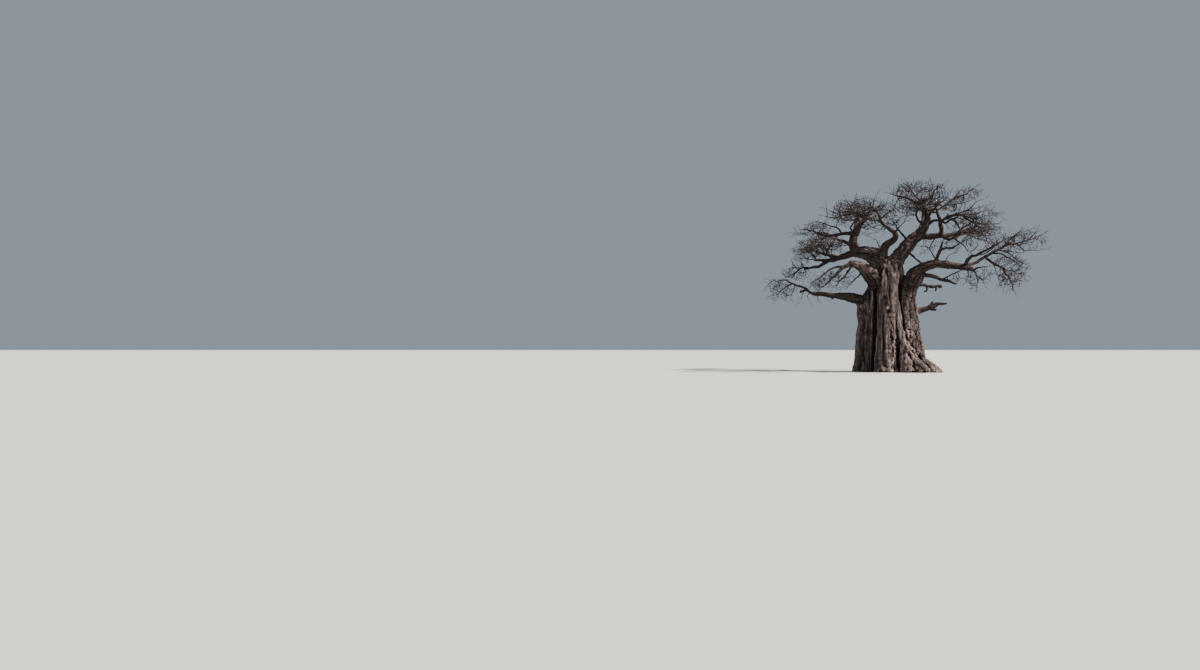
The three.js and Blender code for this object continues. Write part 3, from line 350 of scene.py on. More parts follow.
# The masses of twigs: middle, half sizes across, in depth and up, tilt in degrees, narrowing to the right,
# lift of the ends, growing points in a cubic metre, and density of shoots. The last value, for some, is a
# share of the half height: growing points that lie lower are turned upwards.
MASSES = {
    "far_left_twigs": ([-7.25, 5.85, -0.9], [1.2, 0.85, 0.8], 5, -0.25, 0, 110, 1),
    "outer_left_twigs": ([-6.05, 7.05, 1.5], [1.15, 1.1, 0.62], 18, -0.15, 0, 110, 1),
    "left_twigs": ([-5.35, 8.45, 0.9], [1.05, 1.3, 0.85], 0, -0.1, 0, 62, 0.75),
    "upper_left_twigs": ([-4.95, 9.87, 2.2], [1.5, 1.1, 0.62], 0, -0.25, 0, 75, 0.8),
    "high_left_twigs": ([-2.15, 11.25, 0.7], [2.3, 1.5, 0.7], 8, -0.05, -0.15, 80, 0.85, -0.3),
    "hanging_left_twigs": ([-4.3, 6.4, -2.3], [1.2, 1.2, 0.62], 26, -0.15, 0, 90, 1),
    "crown_twigs": ([1.9, 12.13, 0.3], [1.95, 1.6, 0.78], -5, 0.1, 0, 76, 0.95, -0.45),
    "centre_twigs": ([-0.45, 10.85, -4.2], [1.3, 1.9, 0.6], 0, 0, 0, 60, 0.7),
    "upper_right_twigs": ([4.5, 11.5, 0.9], [1.45, 1.3, 0.6], 30, 0.35, 0, 85, 0.8),
    "right_twigs": ([5.45, 10.35, -1.3], [1.6, 1.2, 0.6], -4, 0.25, 0, 62, 0.7),
    "inner_right_twigs": ([5.15, 9.2, -3.6], [1.15, 1.4, 0.5], 0, 0.1, 0, 75, 1),
    "outer_right_twigs": ([7.95, 8.55, 0.5], [1.65, 1.5, 0.66], 14, 0, 0, 60, 0.72),
    "drooping_right_twigs": ([7.5, 6.45, -1.2], [0.9, 1.1, 1.1], -25, 0, 0, 120, 1.1),
    "under_right_twigs": ([5.5, 6.25, -0.6], [0.85, 0.7, 0.8], 0, 0, 0, 100, 0.9),
    "front_right_twigs": ([7, 8.5, -3], [1.3, 1.3, 0.55], 15, 0.1, 0, 60, 0.8),
    "front_left_twigs": ([-5.25, 8.6, -3.5], [1.2, 1.4, 0.65], 0, -0.1, 0, 45, 0.7),
    "front_high_twigs": ([-2.6, 10.95, -3.4], [1.5, 1.5, 0.55], 6, 0, 0, 36, 0.6),
    "front_top_twigs": ([3.15, 11.35, -3.5], [1.4, 1.5, 0.55], 4, 0, 0, 55, 0.8),
    "back_left_twigs": ([-4.6, 8.75, 5.2], [1.6, 1.8, 0.8], 0, -0.1, 0, 66, 0.8),
    "back_twigs": ([-1.9, 10.75, 5.3], [1.7, 1.7, 0.7], 5, 0, 0, 66, 0.75),
    "back_top_twigs": ([2.1, 11.25, 5.2], [1.7, 1.8, 0.68], 0, 0, 0, 62, 0.75),
    "back_right_twigs": ([5.7, 9.45, 5], [1.6, 1.8, 0.7], -5, 0.1, 0, 62, 0.75),
}

# Thin sprays that cross the gaps between the masses, in the same form after the group that each belongs to.
SPRAYS = [
    ("twigs_left", [-3.7, 8.75, 0.2], [0.95, 0.7, 0.55], 0, 0, 0, 55, 0.8),
    ("twigs_left", [-2.9, 6.35, -1.6], [1, 0.7, 0.6], 15, 0, 0, 60, 0.8),
    ("twigs_upper_left", [-1.15, 10.1, -0.4], [0.85, 0.9, 0.75], 0, 0, 0, 40, 0.6),
    ("twigs_top", [0.3, 10.15, -0.6], [0.75, 0.5, 0.42], 0, 0, 0, 110, 1),
    ("twigs_top", [0.95, 10.9, 0.1], [0.8, 0.6, 0.55], 0, 0, 0, 60, 0.7),
    ("twigs_right", [3.9, 9.75, -0.6], [0.45, 0.4, 0.4], 0, 0, 0, 60, 0.6),
    ("twigs_right", [2.45, 8.4, -0.2], [0.7, 0.5, 0.5], 0, 0, 0, 70, 0.7),
    ("twigs_right", [4.3, 8.6, -1], [1.3, 0.6, 0.6], 0, 0, 0, 60, 0.8),
    ("twigs_right", [5.7, 9.35, -1.4], [0.95, 0.7, 0.5], 0, 0, 0, 75, 1),
    ("twigs_lower_right", [6.9, 7.35, -0.5], [1.15, 0.7, 0.5], 0, 0, 0, 75, 1.1),
    ("twigs_lower_right", [4.5, 6.4, -0.9], [0.75, 0.5, 0.4], 0, 0, 0, 60, 0.7),
    ("twigs_back_left", [-2, 10.95, 2.9], [1.3, 0.9, 0.5], 5, 0, 0, 90, 0.75),
    ("twigs_back_left", [-4, 9.35, 3.3], [1.2, 0.9, 0.5], 0, 0, 0, 80, 0.9),
    ("twigs_back_right", [1.8, 11.4, 2.7], [1.3, 0.9, 0.55], 0, 0, 0, 90, 0.75),
    ("twigs_back_right", [4.5, 10.35, 2.5], [1.3, 0.95, 0.5], -5, 0, 0, 80, 0.7),
]

# The mesh that each mass of twigs goes into.
TWIG_GROUPS = {
    "twigs_left": ["far_left_twigs", "outer_left_twigs", "left_twigs", "hanging_left_twigs"],
    "twigs_upper_left": ["upper_left_twigs", "high_left_twigs", "front_left_twigs"],
    "twigs_top": ["crown_twigs", "upper_right_twigs", "front_top_twigs"],
    "twigs_right": ["right_twigs", "inner_right_twigs", "outer_right_twigs"],
    "twigs_lower_right": ["drooping_right_twigs", "under_right_twigs", "front_right_twigs"],
    "twigs_front": ["centre_twigs", "front_high_twigs"],
    "twigs_back_left": ["back_left_twigs", "back_twigs"],
    "twigs_back_right": ["back_top_twigs", "back_right_twigs"],
}

# Twigs take one of these plain colours by spray.
TWIG_COLOURS = {
    "twig_dark": (0.016, 0.012, 0.01),
    "twig_brown": (0.032, 0.023, 0.019),
    "twig_red": (0.045, 0.019, 0.015),
}

# Length of the steps along stems, boughs and branches, and how uneven stems and boughs are in girth.
STEM_STEP, BOUGH_STEP, BRANCH_STEP = 0.3, 0.18, 0.12
STEM_UNEVEN, BOUGH_UNEVEN = 0.06, 0.1
# The trunk and boughs are fused in cubes of this size, from tubes with this many sides.
VOXEL = 0.037
FUSED_SIDES = 14
# Boughs and branches are fused into the skin where their radius is at least this.
THIN = 0.1
# The trunk's skin is cut in two pieces at this height.
TRUNK_SPLIT = 3.2
# The trunk's bark grows darker from this height on, over so many metres.
FORK_FOOT, FORK_HEIGHT = 5.6, 1.6

# How deep the lumps in a mass's surface are, as a share of its size.
LUMP_DEPTH = 0.22
# Volume of a ball of radius 1.
BALL = 4.19
# Clumps of growing points in a mass, how wide they are, how far out their middles lie, and the share of the
# growing points that they hold.
CLUMPS = 12
CLUMP_WIDTH = 0.16
CLUMP_PLACES = (0.35, 0.85)
CLUMPED = 0.78
# Square of the share of a mass that the other growing points fill, and the share beyond which none lies.
SPREAD = 0.88
OUTMOST = 0.93
# No growing point lies nearer than this to the sides of the CAD box.
EDGE = 0.2
# Growing points that share a cube of this side count as one.
APART = 0.13
# A mass grows from the limbs that come within so many times its half sizes.
AROUND = 1.3
# It grows from boughs only where their radius is below this.
SLENDER = 0.3
# Length of a step in growing, how far a growing point pulls, and how near to it counts as reached.
GROW_STEP = 0.19
REACH = 1.6
NEAR_ENOUGH = 0.2
# How much a growing branch keeps to its way, leans out from CROWN_MIDDLE and strays.
KEEPING = 0.6
LEANING = 0.15
STRAYING = 0.24
# Most branches that leave one node, most nodes in a mass, and most rounds of growing.
MOST_BRANCHES = 3
MOST_NODES = 2500
GROW_ROUNDS = 120
# The place that grown branches and shoots lean away from.
CROWN_MIDDLE = np.array([0.2, 0, 7.5])

# Radius of a grown branch that carries one tip, the largest radius of a grown one, a shoot's radius, and the
# smallest radius of a branch that shows by itself.
TIP_RADIUS = 0.0145
MOST_RADIUS = 0.07
SHOOT_RADIUS = TIP_RADIUS * 0.85
LEAST_RADIUS = 0.007
# Grown branches of a larger radius have bark.
BARKED_ABOVE = 0.03
# Branches of a larger radius have eight sides in place of six, and twigs four in place of three.
EIGHT_SIDED, FOUR_SIDED = 0.06, 0.018
# The chance that a grown branch changes the colour of its spray.
COLOUR_CHANGES = 0.3
# Branch tips of a larger radius are led into the next limb, if it lies within JOIN_REACH.
JOINING = 0.03
JOIN_REACH = 0.5
# Shoots at each step of a branch, for a density of 1 in a mass, and on a branch that shows by itself.
SHOOTS = 0.55
LONE_SHOOTS = 0.3
# A branch has shoots where its radius is no larger than this.
SHOOTS_BELOW = 0.04
# Shortest and longest shoot beside a branch and at its end, and the length above which one has another ring.
SIDE_SHOOT = (0.18, 0.5)
END_SHOOT = (0.3, 0.62)
LONG_SHOOT = 0.35

# Tone of bark that is neither hollow nor proud.
LEVEL_TONE = 0.48
# Painted light from above: how much paler the bark is where it faces up, and darker, as painted shade, where
# it faces down.
PAINTED_LIGHT_FROM_ABOVE = 0.2
# How much of the small relief is left where the trunk is smooth.
CALM = 0.5
# Sizes of the bark's ribs (three widths), folds, swellings, lumps, ridges, knots and cracks.
TRUNK_BARK = (0.055, 0.05, 0.025, 0.07, 0.02, 0.026, 0.03, 0.06, 0.045)
BOUGH_BARK = (0.085, 0.045, 0.01, 0.07, 0.036, 0.027, 0.042, 0.12, 0.05)
# Marks on the front of the trunk: across, up, radius, and how far they stand out or sink in.
MARKS = [
    (-0.12, 4.4, 0.12, 0.17), (0.02, 4.14, 0.1, -0.08), (0.12, 3.9, 0.2, 0.06), (-0.2, 1.4, 0.13, 0.12),
    (1.97, 1.02, 0.18, -0.32), (0.1, 0.55, 0.2, 0.1), (-0.45, 0.25, 0.2, 0.12), (-1.3, 4.15, 0.18, 0.06),
    (-0.9, 6.95, 0.16, 0.12), (-1.3, 7.2, 0.2, 0.1), (-1.75, 7.35, 0.18, 0.1), (-0.3, 0.08, 0.16, 0.16),
    (0.15, 0.05, 0.16, 0.18), (0.45, 0.02, 0.14, 0.16), (-0.75, 0.05, 0.14, 0.12), (1.5, 5.35, 0.2, 0.05),
    (0.35, 6.55, 0.2, 0.08), (-1.85, 4.55, 0.2, 0.08),
]
# Painted patches of light and shade on the front: across, up, half width, half height, and how much paler.
PAINTED_LIGHT_AND_SHADE_PATCHES = [
    (0.36, 5.5, 0.2, 1.1, 0.3), (0.65, 6.95, 0.25, 0.4, 0.28), (-1.4, 7.15, 0.5, 0.34, 0.82),
    (-1.95, 7.45, 0.5, 0.2, 0.75), (-1.45, 8.45, 0.5, 0.18, 0.25), (-0.4, 7.6, 0.3, 0.25, 0.18),
    (-0.1, 8.1, 0.16, 0.4, 0.2), (2.6, 7.5, 0.5, 0.18, 0.2), (4, 7.4, 0.9, 0.14, 0.22),
    (1.5, 4.7, 0.25, 0.3, 0.26), (0.2, 3.5, 0.2, 0.6, 0.22), (0.55, 4.1, 0.12, 0.5, 0.2),
    (1, 2, 0.3, 0.6, 0.2), (1.6, 3.2, 0.4, 1.5, 0.3), (-0.12, 4.42, 0.16, 0.12, 0.12),
    (-2.3, 9, 0.14, 0.7, 0.2),
    (-1.5, 2.5, 0.6, 3.4, -0.17), (-1.25, 5.8, 0.4, 0.8, -0.16), (0.1, 6.9, 0.6, 0.4, -0.18),
    (-0.5, 4.6, 0.34, 2.2, -0.2), (1.3, 5.6, 0.5, 0.8, -0.18),
]
# Cracks on the front, from place to place: width and depth, then across and up.
CRACKS = [
    (0.13, 0.17, [(-0.9, 6.6), (-0.88, 5), (-0.86, 3.2), (-0.88, 1.4), (-0.92, 0)]),
    (0.06, 0.16, [(-0.02, 2.85), (-0.08, 2.2), (-0.02, 1.7), (-0.1, 1.15)]),
    (0.05, 0.1, [(-0.36, 4), (-0.4, 3), (-0.38, 1.8), (-0.42, 0.7)]),
    (0.08, 0.2, [(0.66, 6.1), (0.64, 5), (0.7, 4.2), (0.86, 3.4), (1.02, 2.5), (1.38, 1.6), (1.9, 0.85)]),
    (0.05, 0.05, [(-1.66, 4.2), (-1.64, 2.4), (-1.66, 0)]),
    (0.04, 0.04, [(-1.22, 4.4), (-1.24, 2.4), (-1.26, 0.4)]),
    (0.05, 0.08, [(-0.6, 7.4), (-0.5, 6.6), (-0.55, 5.6)]),
    (0.04, 0.07, [(0.1, 6.2), (0.02, 5.4), (0.06, 4.7)]),
]

# The camera's place across and in depth, its turn to the left and pitch upwards in degrees, and the way to
# the sun.
CAMERA_AT = (0.016, -58.064)
CAMERA_TURN, CAMERA_PITCH = 19.9, 1.074
SUN_FROM = Vector((0.7, -0.02, 0.72))
# Size of the floor, and how far the camera sees.
FAR = 20000


def seen(row):
    """The true place of a point that is given as it shows from in front."""
    across, up, depth = row[:3]
    spread = 1 + depth / VIEW_DISTANCE
    return np.array([across * spread, depth, EYE_HEIGHT + (up - EYE_HEIGHT) * spread])


def unit(v):
    """The direction of each vector, with length 1."""
    return v / np.maximum(np.linalg.norm(v, axis=-1, keepdims=True), 1e-9)


def curve(rows, step):
    """Points and radii along a smooth curve through the rows of a limb."""
    knots = np.array([seen(r) for r in rows])
    thick = np.array([r[3] for r in rows])
    ends = np.vstack([2 * knots[0] - knots[1], knots, 2 * knots[-1] - knots[-2]])
    points, radii = [], []
    for i in range(len(knots) - 1):
        p0, p1, p2, p3 = ends[i : i + 4]
        d0, d1, d2 = (np.linalg.norm(b - a) ** 0.5 for a, b in ((p0, p1), (p1, p2), (p2, p3)))
        out = ((p1 - p0) / d0 - (p2 - p0) / (d0 + d1) + (p2 - p1) / d1) * d1
        into = ((p2 - p1) / d1 - (p3 - p1) / (d1 + d2) + (p3 - p2) / d2) * d1
        n = max(1, math.ceil(np.linalg.norm(p2 - p1) / step))
        u = (np.arange(n) / n)[:, None]
        points.append((2 * u**3 - 3 * u**2 + 1) * p1 + (u**3 - 2 * u**2 + u) * out
                      + (3 * u**2 - 2 * u**3) * p2 + (u**3 - u**2) * into)
        radii.append((thick[i] + (thick[i + 1] - thick[i]) * u[:, 0]) / 2)
    return np.vstack([*points, knots[-1:]]), np.concatenate([*radii, thick[-1:] / 2])


def frames(points):
    """Tangents and two normals that don't twist, for paths of shape (many, rings, 3)."""
    ahead = np.concatenate([points[:, 1:2], points[:, 2:], points[:, -1:]], axis=1)
    behind = np.concatenate([points[:, :1], points[:, :-2], points[:, -2:-1]], axis=1)
    tangents = unit(ahead - behind)
    helper = np.where(np.abs(tangents[:, :1, 2:]) < 0.9, [0.0, 0.0, 1.0], [1.0, 0.0, 0.0])
    normals = np.empty_like(points)
    normals[:, 0] = unit(np.cross(tangents[:, 0], helper[:, 0]))
    for i in range(1, points.shape[1]):
        last = normals[:, i - 1]
        t = tangents[:, i]
        normals[:, i] = unit(last - t * np.sum(last * t, axis=-1, keepdims=True))
    return tangents, normals, np.cross(tangents, normals)


def tube_faces(sides, circles, pointed):
    """The faces of one tube: those round it, its foot, and its end as a fan or one flat face."""
    i, j = np.meshgrid(np.arange(circles - 1), np.arange(sides), indexing="ij")
    a, b = i * sides + j, i * sides + (j + 1) % sides
    quads = np.stack([a, b, b + sides, a + sides], axis=-1).reshape(-1, 4)
    j = np.arange(sides)
    top = (circles - 1) * sides
    end = (top + j)[None]
    if pointed:
        end = np.stack([top + j, top + (j + 1) % sides, np.full(sides, top + sides)], axis=-1)
    return quads, j[None, ::-1], end


def tube_bark(points, radii, spoke, around, first):
    """The values at each vertex of pointed tubes: three for grain, how far it faces up, and girth."""
    many, rings = radii.shape
    sides = len(around)
    steps = np.linalg.norm(np.diff(points, axis=1), axis=2)
    along = np.concatenate([np.zeros((many, 1)), np.cumsum(steps, axis=1)], axis=1)
    values = np.zeros((many, (rings - 1) * sides + 1, 5))
    values[:, :-1, :2] = (around * radii[:, :-1, None, None]).reshape(many, -1, 2)
    values[:, :-1, 2] = np.repeat(along[:, :-1], sides, axis=1)
    values[:, -1, 2] = along[:, -1]
    values[:, :-1, 3] = spoke[:, :-1, :, 2].reshape(many, -1)
    values[:, :-1, 4] = np.repeat(radii[:, :-1], sides, axis=1)
    values[..., :3] += (first + np.arange(many))[:, None, None] * [0.731, 0.377, 0.613] % 40
    return values.reshape(-1, 5)


class Tubes:
    """Closed tubes collected one by one, then built all together into one mesh."""

    def __init__(self):
        self.kinds = {}

    def add(self, points, radii, sides, look=0, pointed=True):
        self.kinds.setdefault((len(points), sides, pointed), []).append((points, radii, look))

    def build(self, name, materials, barked=False):
        verts, polygons, looks, bark = [], [], [], []
        base = 0
        for (rings, sides, pointed), tubes in self.kinds.items():
            points, radii = (np.array([t[k] for t in tubes], float) for k in (0, 1))
            look = np.array([t[2] for t in tubes])
            many = len(tubes)
            _, normal, binormal = frames(points)
            angle = np.arange(sides) / sides * 2 * np.pi
            around = np.stack([np.cos(angle), np.sin(angle)], axis=-1)
            spoke = normal[:, :, None] * around[:, :1] + binormal[:, :, None] * around[:, 1:]
            circles = rings - 1 if pointed else rings
            ring = points[:, :, None] + spoke * radii[:, :, None, None]
            body = ring[:, :circles].reshape(many, -1, 3)
            if pointed:
                body = np.concatenate([body, points[:, -1:]], axis=1)
            verts.append(body.reshape(-1, 3))
            if barked:
                bark.append(tube_bark(points, radii, spoke, around, base))
            first = base + np.arange(many)[:, None, None] * body.shape[1]
            for faces in tube_faces(sides, circles, pointed):
                polygons.append((first + faces).reshape(-1, faces.shape[1]))
                looks.append(np.repeat(look, len(faces)))
            base += many * body.shape[1]
        o = mesh_object(name, np.vstack(verts), polygons, materials, looks)
        if barked:
            grain, facing, girth = np.split(np.vstack(bark), [3, 4], axis=1)
            # Random tone, with painted light on each branch's upper side and painted shade on its under
            # side.
            hollow = LEVEL_TONE + 0.2 * noise(np.vstack(verts) * 3, 9) + PAINTED_LIGHT_FROM_ABOVE * facing[:, 0]
            write_attributes(o, grain=grain, hollow=hollow, girth=girth[:, 0])
        return o


def mesh_object(name, verts, polygons, materials=(), looks=None):
    """A mesh in the scene. Polygons are arrays of faces with the same number of corners."""
    mesh = bpy.data.meshes.new(name)
    mesh.vertices.add(len(verts))
    mesh.vertices.foreach_set("co", np.asarray(verts, np.float32).ravel())
    loops = np.concatenate([p.ravel() for p in polygons])
    sizes = np.concatenate([np.full(len(p), p.shape[1]) for p in polygons])
    mesh.loops.add(len(loops))
    mesh.loops.foreach_set("vertex_index", loops.astype(np.int32))
    mesh.polygons.add(len(sizes))
    mesh.polygons.foreach_set("loop_start", np.concatenate([[0], np.cumsum(sizes)[:-1]]).astype(np.int32))
    for m in materials:
        mesh.materials.append(m)
    if looks is not None:
        mesh.polygons.foreach_set("material_index", np.concatenate(looks).astype(np.int32))
    mesh.polygons.foreach_set("use_smooth", np.ones(len(sizes), bool))
    mesh.update(calc_edges=True)
    mesh.validate()
    o = bpy.data.objects.new(name, mesh)
    bpy.context.scene.collection.objects.link(o)
    return o


def write_attributes(o, **given):
    """Each value given by name is stored at the vertices: one number or a place."""
    for name, values in given.items():
        kind, field = ("FLOAT", "value") if values.ndim == 1 else ("FLOAT_VECTOR", "vector")
        a = o.data.attributes.new(name, kind, "POINT")
        a.data.foreach_set(field, values.astype(np.float32).ravel())


def hashed(cell, seed):
    """A value from -1 to 1 for each cell of a grid of whole numbers."""
    n = cell[..., 0] * 374761393 + cell[..., 1] * 668265263 + cell[..., 2] * 2147483647 + seed * 1274126177
    n = (n ^ (n >> 13)) * 1103515245 & 0xFFFFFFFF
    n = (n ^ (n >> 16)) * 1597334677 & 0xFFFFFFFF
    return (n ^ (n >> 15)) % 65536 / 32767.5 - 1


def noise(p, seed=0):
    """Smooth noise from about -1 to 1 at points of shape (many, 3)."""
    cell = np.floor(p).astype(np.int64)
    f = p - cell
    f = f * f * f * (f * (f * 6 - 15) + 10)
    total = 0
    for dx in (0, 1):
        for dy in (0, 1):
            for dz in (0, 1):
                weight = (f[:, 0] if dx else 1 - f[:, 0]) * (f[:, 1] if dy else 1 - f[:, 1])
                weight = weight * (f[:, 2] if dz else 1 - f[:, 2])
                total = total + weight * hashed(cell + [dx, dy, dz], seed)
    return total


def creases(p, seed=0):
    """From 0, for most places, to 1 along thin winding lines."""
    return np.clip(1 - 3.2 * np.abs(noise(p, seed)), 0, 1) ** 1.5


def drift(points, scale, shift, seed):
    """Three values from about -1 to 1 at each point, which wander slowly along a limb."""
    return np.column_stack([noise(points * scale + seed * shift + k, seed + k) for k in range(3)])


def material(name, roughness):
    m = bpy.data.materials.new(name)
    m.use_nodes = True
    shader = m.node_tree.nodes["Principled BSDF"]
    shader.inputs["Roughness"].default_value = roughness
    shader.inputs["Specular IOR Level"].default_value = 0.25
    return m, m.node_tree, shader


def plain(name, colour, roughness=0.85):
    m, _, shader = material(name, roughness)
    shader.inputs["Base Color"].default_value = (*colour, 1)
    return m


def fed(tree, socket, value):
    """The socket takes the value, or is linked where the value comes from another node."""
    if isinstance(value, bpy.types.NodeSocket):
        tree.links.new(value, socket)
    else:
        socket.default_value = value


def added(tree, kind, output, **inputs):
    """The named output of a new node whose inputs are given by name."""
    node = tree.nodes.new(kind)
    for name, value in inputs.items():
        fed(tree, node.inputs[name], value)
    return node.outputs[output]


def attribute(tree, name, output="Fac"):
    node = tree.nodes.new("ShaderNodeAttribute")
    node.attribute_name = name
    return node.outputs[output]


def ramp(tree, fac, stops):
    node = tree.nodes.new("ShaderNodeValToRGB")
    elements = node.color_ramp.elements
    while len(elements) < len(stops):
        elements.new(0.5)
    for element, (place, colour) in zip(elements, stops):
        element.position = place
        element.color = (*colour, 1)
    tree.links.new(fac, node.inputs["Fac"])
    return node.outputs["Color"]


def mixed(tree, fac, a, b, kind="MIX"):
    node = tree.nodes.new("ShaderNodeMix")
    node.data_type = "RGBA"
    node.blend_type = kind
    sockets = {i.identifier: i for i in node.inputs}
    for name, value in (("Factor_Float", fac), ("A_Color", a), ("B_Color", b)):
        fed(tree, sockets[name], value)
    return next(o for o in node.outputs if o.identifier == "Result_Color")


def bark_material():
    """Bark whose tone follows broad patches, streaks along the grain, painted light and shade, flecks and
    girth.
    """
    m, tree, shader = material("bark", 0.88)
    places = attribute(tree, "grain", "Vector"), attribute(tree, "place", "Vector")
    along = [added(tree, "ShaderNodeMapping", "Vector", Vector=v, Scale=(1, 1, 0.22)) for v in places]
    on_trunk = attribute(tree, "on_trunk")

    def grainy(vectors, scale, detail, rough):
        """Noise that follows the limb on boughs, and stands upright on the trunk."""
        of_limb, of_trunk = (added(tree, "ShaderNodeTexNoise", "Fac", Vector=v, Scale=scale, Detail=detail,
                                   Roughness=rough) for v in vectors)
        return mixed(tree, on_trunk, of_limb, of_trunk)

    colour = ramp(tree, grainy(along, 1.5, 5, 0.62), [
        (0.3, (0.062, 0.049, 0.052)), (0.5, (0.09, 0.073, 0.076)), (0.72, (0.152, 0.126, 0.131))])
    for shade in (
        ramp(tree, grainy(along, 11, 4, 0.65), [
            (0.35, (0.58, 0.54, 0.52)), (0.65, (1.25, 1.22, 1.18))]),
        # Painted shade in hollows, beneath and in patches, and painted light on what stands out, faces up or
        # lies in patches.
        ramp(tree, attribute(tree, "hollow"), [
            (0, (0.07, 0.055, 0.05)), (0.25, (0.26, 0.22, 0.2)), (0.5, (0.82, 0.79, 0.76)),
            (0.7, (1.5, 1.43, 1.35)), (1, (2.9, 2.75, 2.55))]),
        ramp(tree, grainy(places, 4.5, 8, 0.75), [
            (0.38, (0.7, 0.66, 0.64)), (0.5, (1, 1, 1)), (0.64, (1.2, 1.18, 1.15))]),
        ramp(tree, attribute(tree, "girth"), [
            (0.02, (0.28, 0.24, 0.22)), (0.15, (0.35, 0.32, 0.3)), (0.45, (0.52, 0.49, 0.47)),
            (0.9, (1, 1, 1))]),
    ):
        colour = mixed(tree, 1, colour, shade, "MULTIPLY")
    tree.links.new(colour, shader.inputs["Base Color"])
    fine = grainy(along, 14, 7, 0.68)
    bump = added(tree, "ShaderNodeBump", "Normal", Strength=0.9, Distance=0.05, Height=fine)
    tree.links.new(bump, shader.inputs["Normal"])
    return m


def limb(rows, step, seed, rough):
    """A thick limb's points and radii, a little crooked and uneven in girth."""
    points, radii = curve(rows, step)
    sway = drift(points, 1.1, 3.1, seed)
    sway[0] = 0
    kink = drift(points, 3.3, 1.9, seed)
    ease = np.minimum(np.arange(len(points)) / 4, 1)[:, None]
    thin = np.clip(1.5 - 4 * radii, 0, 1)[:, None]
    points = points + sway * (1.6 * rough * radii)[:, None] + ease * thin * (0.05 * sway + 0.045 * kink)
    wave = noise(points * 1.4 + seed * 7.3, seed) + 0.7 * noise(points * 3.7 + seed, seed)
    return points, radii * (1 + rough * wave * (1 + 0.6 * thin[:, 0]))


def thin_branch(rows, seed):
    """A thin branch with the small bends and uneven girth of real wood."""
    points, radii = curve(rows, BRANCH_STEP)
    sway = drift(points, 1.8, 5.3, seed)
    kink = drift(points, 5.5, 2.7, seed)
    ease = np.minimum(np.arange(len(points)) / 3, 1)[:, None]
    wave = noise(points * 6 + seed, seed)
    radii = np.maximum(radii * (1 + 0.22 * wave), LEAST_RADIUS)
    return points + ease * (0.06 * sway + 0.028 * kink), radii


def rounded(points, radii):
    """The limb with a round end in place of a point."""
    way = unit(points[-1] - points[-2])
    cap = points[-1] + way * radii[-1] * np.array([[0.45], [0.8], [0.95]])
    return np.vstack([points, cap]), np.concatenate([radii, radii[-1] * np.array([0.9, 0.62, 0.3])])


def grain_of(verts, limbs):
    """For each vertex, its place along and across its nearest limb, that limb's radius and its number."""
    tables = []
    for number, (points, radii) in enumerate(limbs):
        tangent, normal, binormal = (f[0] for f in frames(points[None]))
        along = np.concatenate([[0], np.cumsum(np.linalg.norm(np.diff(points, axis=0), axis=1))])
        owner = np.full(len(points), number)
        tables.append(np.column_stack([points, tangent, normal, binormal, radii, along, owner]))
    table = np.vstack(tables)
    tree = kdtree.KDTree(len(table))
    for i, row in enumerate(table):
        tree.insert(row[:3], i)
    tree.balance()
    radius = table[:, 12]
    nearest = np.array([min(tree.find_n(v, 8), key=lambda hit: hit[2] - radius[hit[1]])[1] for v in verts])
    row = table[nearest]
    away = verts - row[:, :3]
    across, beside, onward = (np.sum(away * row[:, k : k + 3], axis=1) for k in (6, 9, 3))
    grain = np.column_stack([across, beside, onward + row[:, 13]])
    return grain + row[:, 14:] * 5.37, row[:, 12], row[:, 14].astype(int)


def smoothed(values, edges, rounds, amount=0.6):
    """The values with each drawn towards the mean of its neighbours, round after round."""
    if values.ndim == 1:
        return smoothed(values[:, None], edges, rounds, amount)[:, 0]
    ends = np.concatenate([edges, edges[:, ::-1]])
    many = len(values)
    degree = np.maximum(np.bincount(ends[:, 0], minlength=many), 1)[:, None]
    for _ in range(rounds):
        total = [np.bincount(ends[:, 0], weights=column[ends[:, 1]], minlength=many) for column in values.T]
        values = values + amount * (np.column_stack(total) / degree - values)
    return values


def vertex_normals(verts, quads):
    """The way that the skin faces at each vertex, the mean of the faces there."""
    a, b, c, d = (verts[quads[:, k]] for k in range(4))
    face = np.cross(c - a, d - b)
    normals = np.zeros_like(verts)
    for k in range(3):
        for j in range(4):
            normals[:, k] += np.bincount(quads[:, j], weights=face[:, k], minlength=len(verts))
    return unit(normals)


def skin_limbs(boughs):
    """The limbs of the fused skin: the trunk's first, then boughs and branches where they are thick."""
    limbs = [limb(rows, STEM_STEP, number, STEM_UNEVEN) for number, rows in enumerate(STEMS + FOLDS)]
    branches = [thin_branch(rows, number) for number, rows in enumerate(BRANCHES + STUB_BITS)
                if rows[0][3] >= 2 * THIN]
    for points, radii in boughs + branches:
        thick = radii >= THIN
        if thick.sum() > 1:
            limbs.append((points[thick], radii[thick]))
    return limbs


def fuse(limbs):
    """The limbs joined into one skin: its vertices, four-sided faces and edges."""
    tubes = Tubes()
    for points, radii in limbs:
        tubes.add(points, radii, FUSED_SIDES, pointed=False)
    rough = tubes.build("rough_bark", [])
    remesh = rough.modifiers.new("fuse", "REMESH")
    remesh.mode = "VOXEL"
    remesh.voxel_size = VOXEL
    skin = bpy.data.meshes.new_from_object(rough.evaluated_get(bpy.context.evaluated_depsgraph_get()))
    verts = np.empty(len(skin.vertices) * 3, np.float32)
    skin.vertices.foreach_get("co", verts)
    loops = np.empty(len(skin.loops), np.int32)
    skin.loops.foreach_get("vertex_index", loops)
    edges = np.empty(len(skin.edges) * 2, np.int32)
    skin.edges.foreach_get("vertices", edges)
    bpy.data.objects.remove(rough)
    bpy.data.meshes.remove(skin)
    return verts.reshape(-1, 3).astype(float), loops.reshape(-1, 4), edges.reshape(-1, 2)


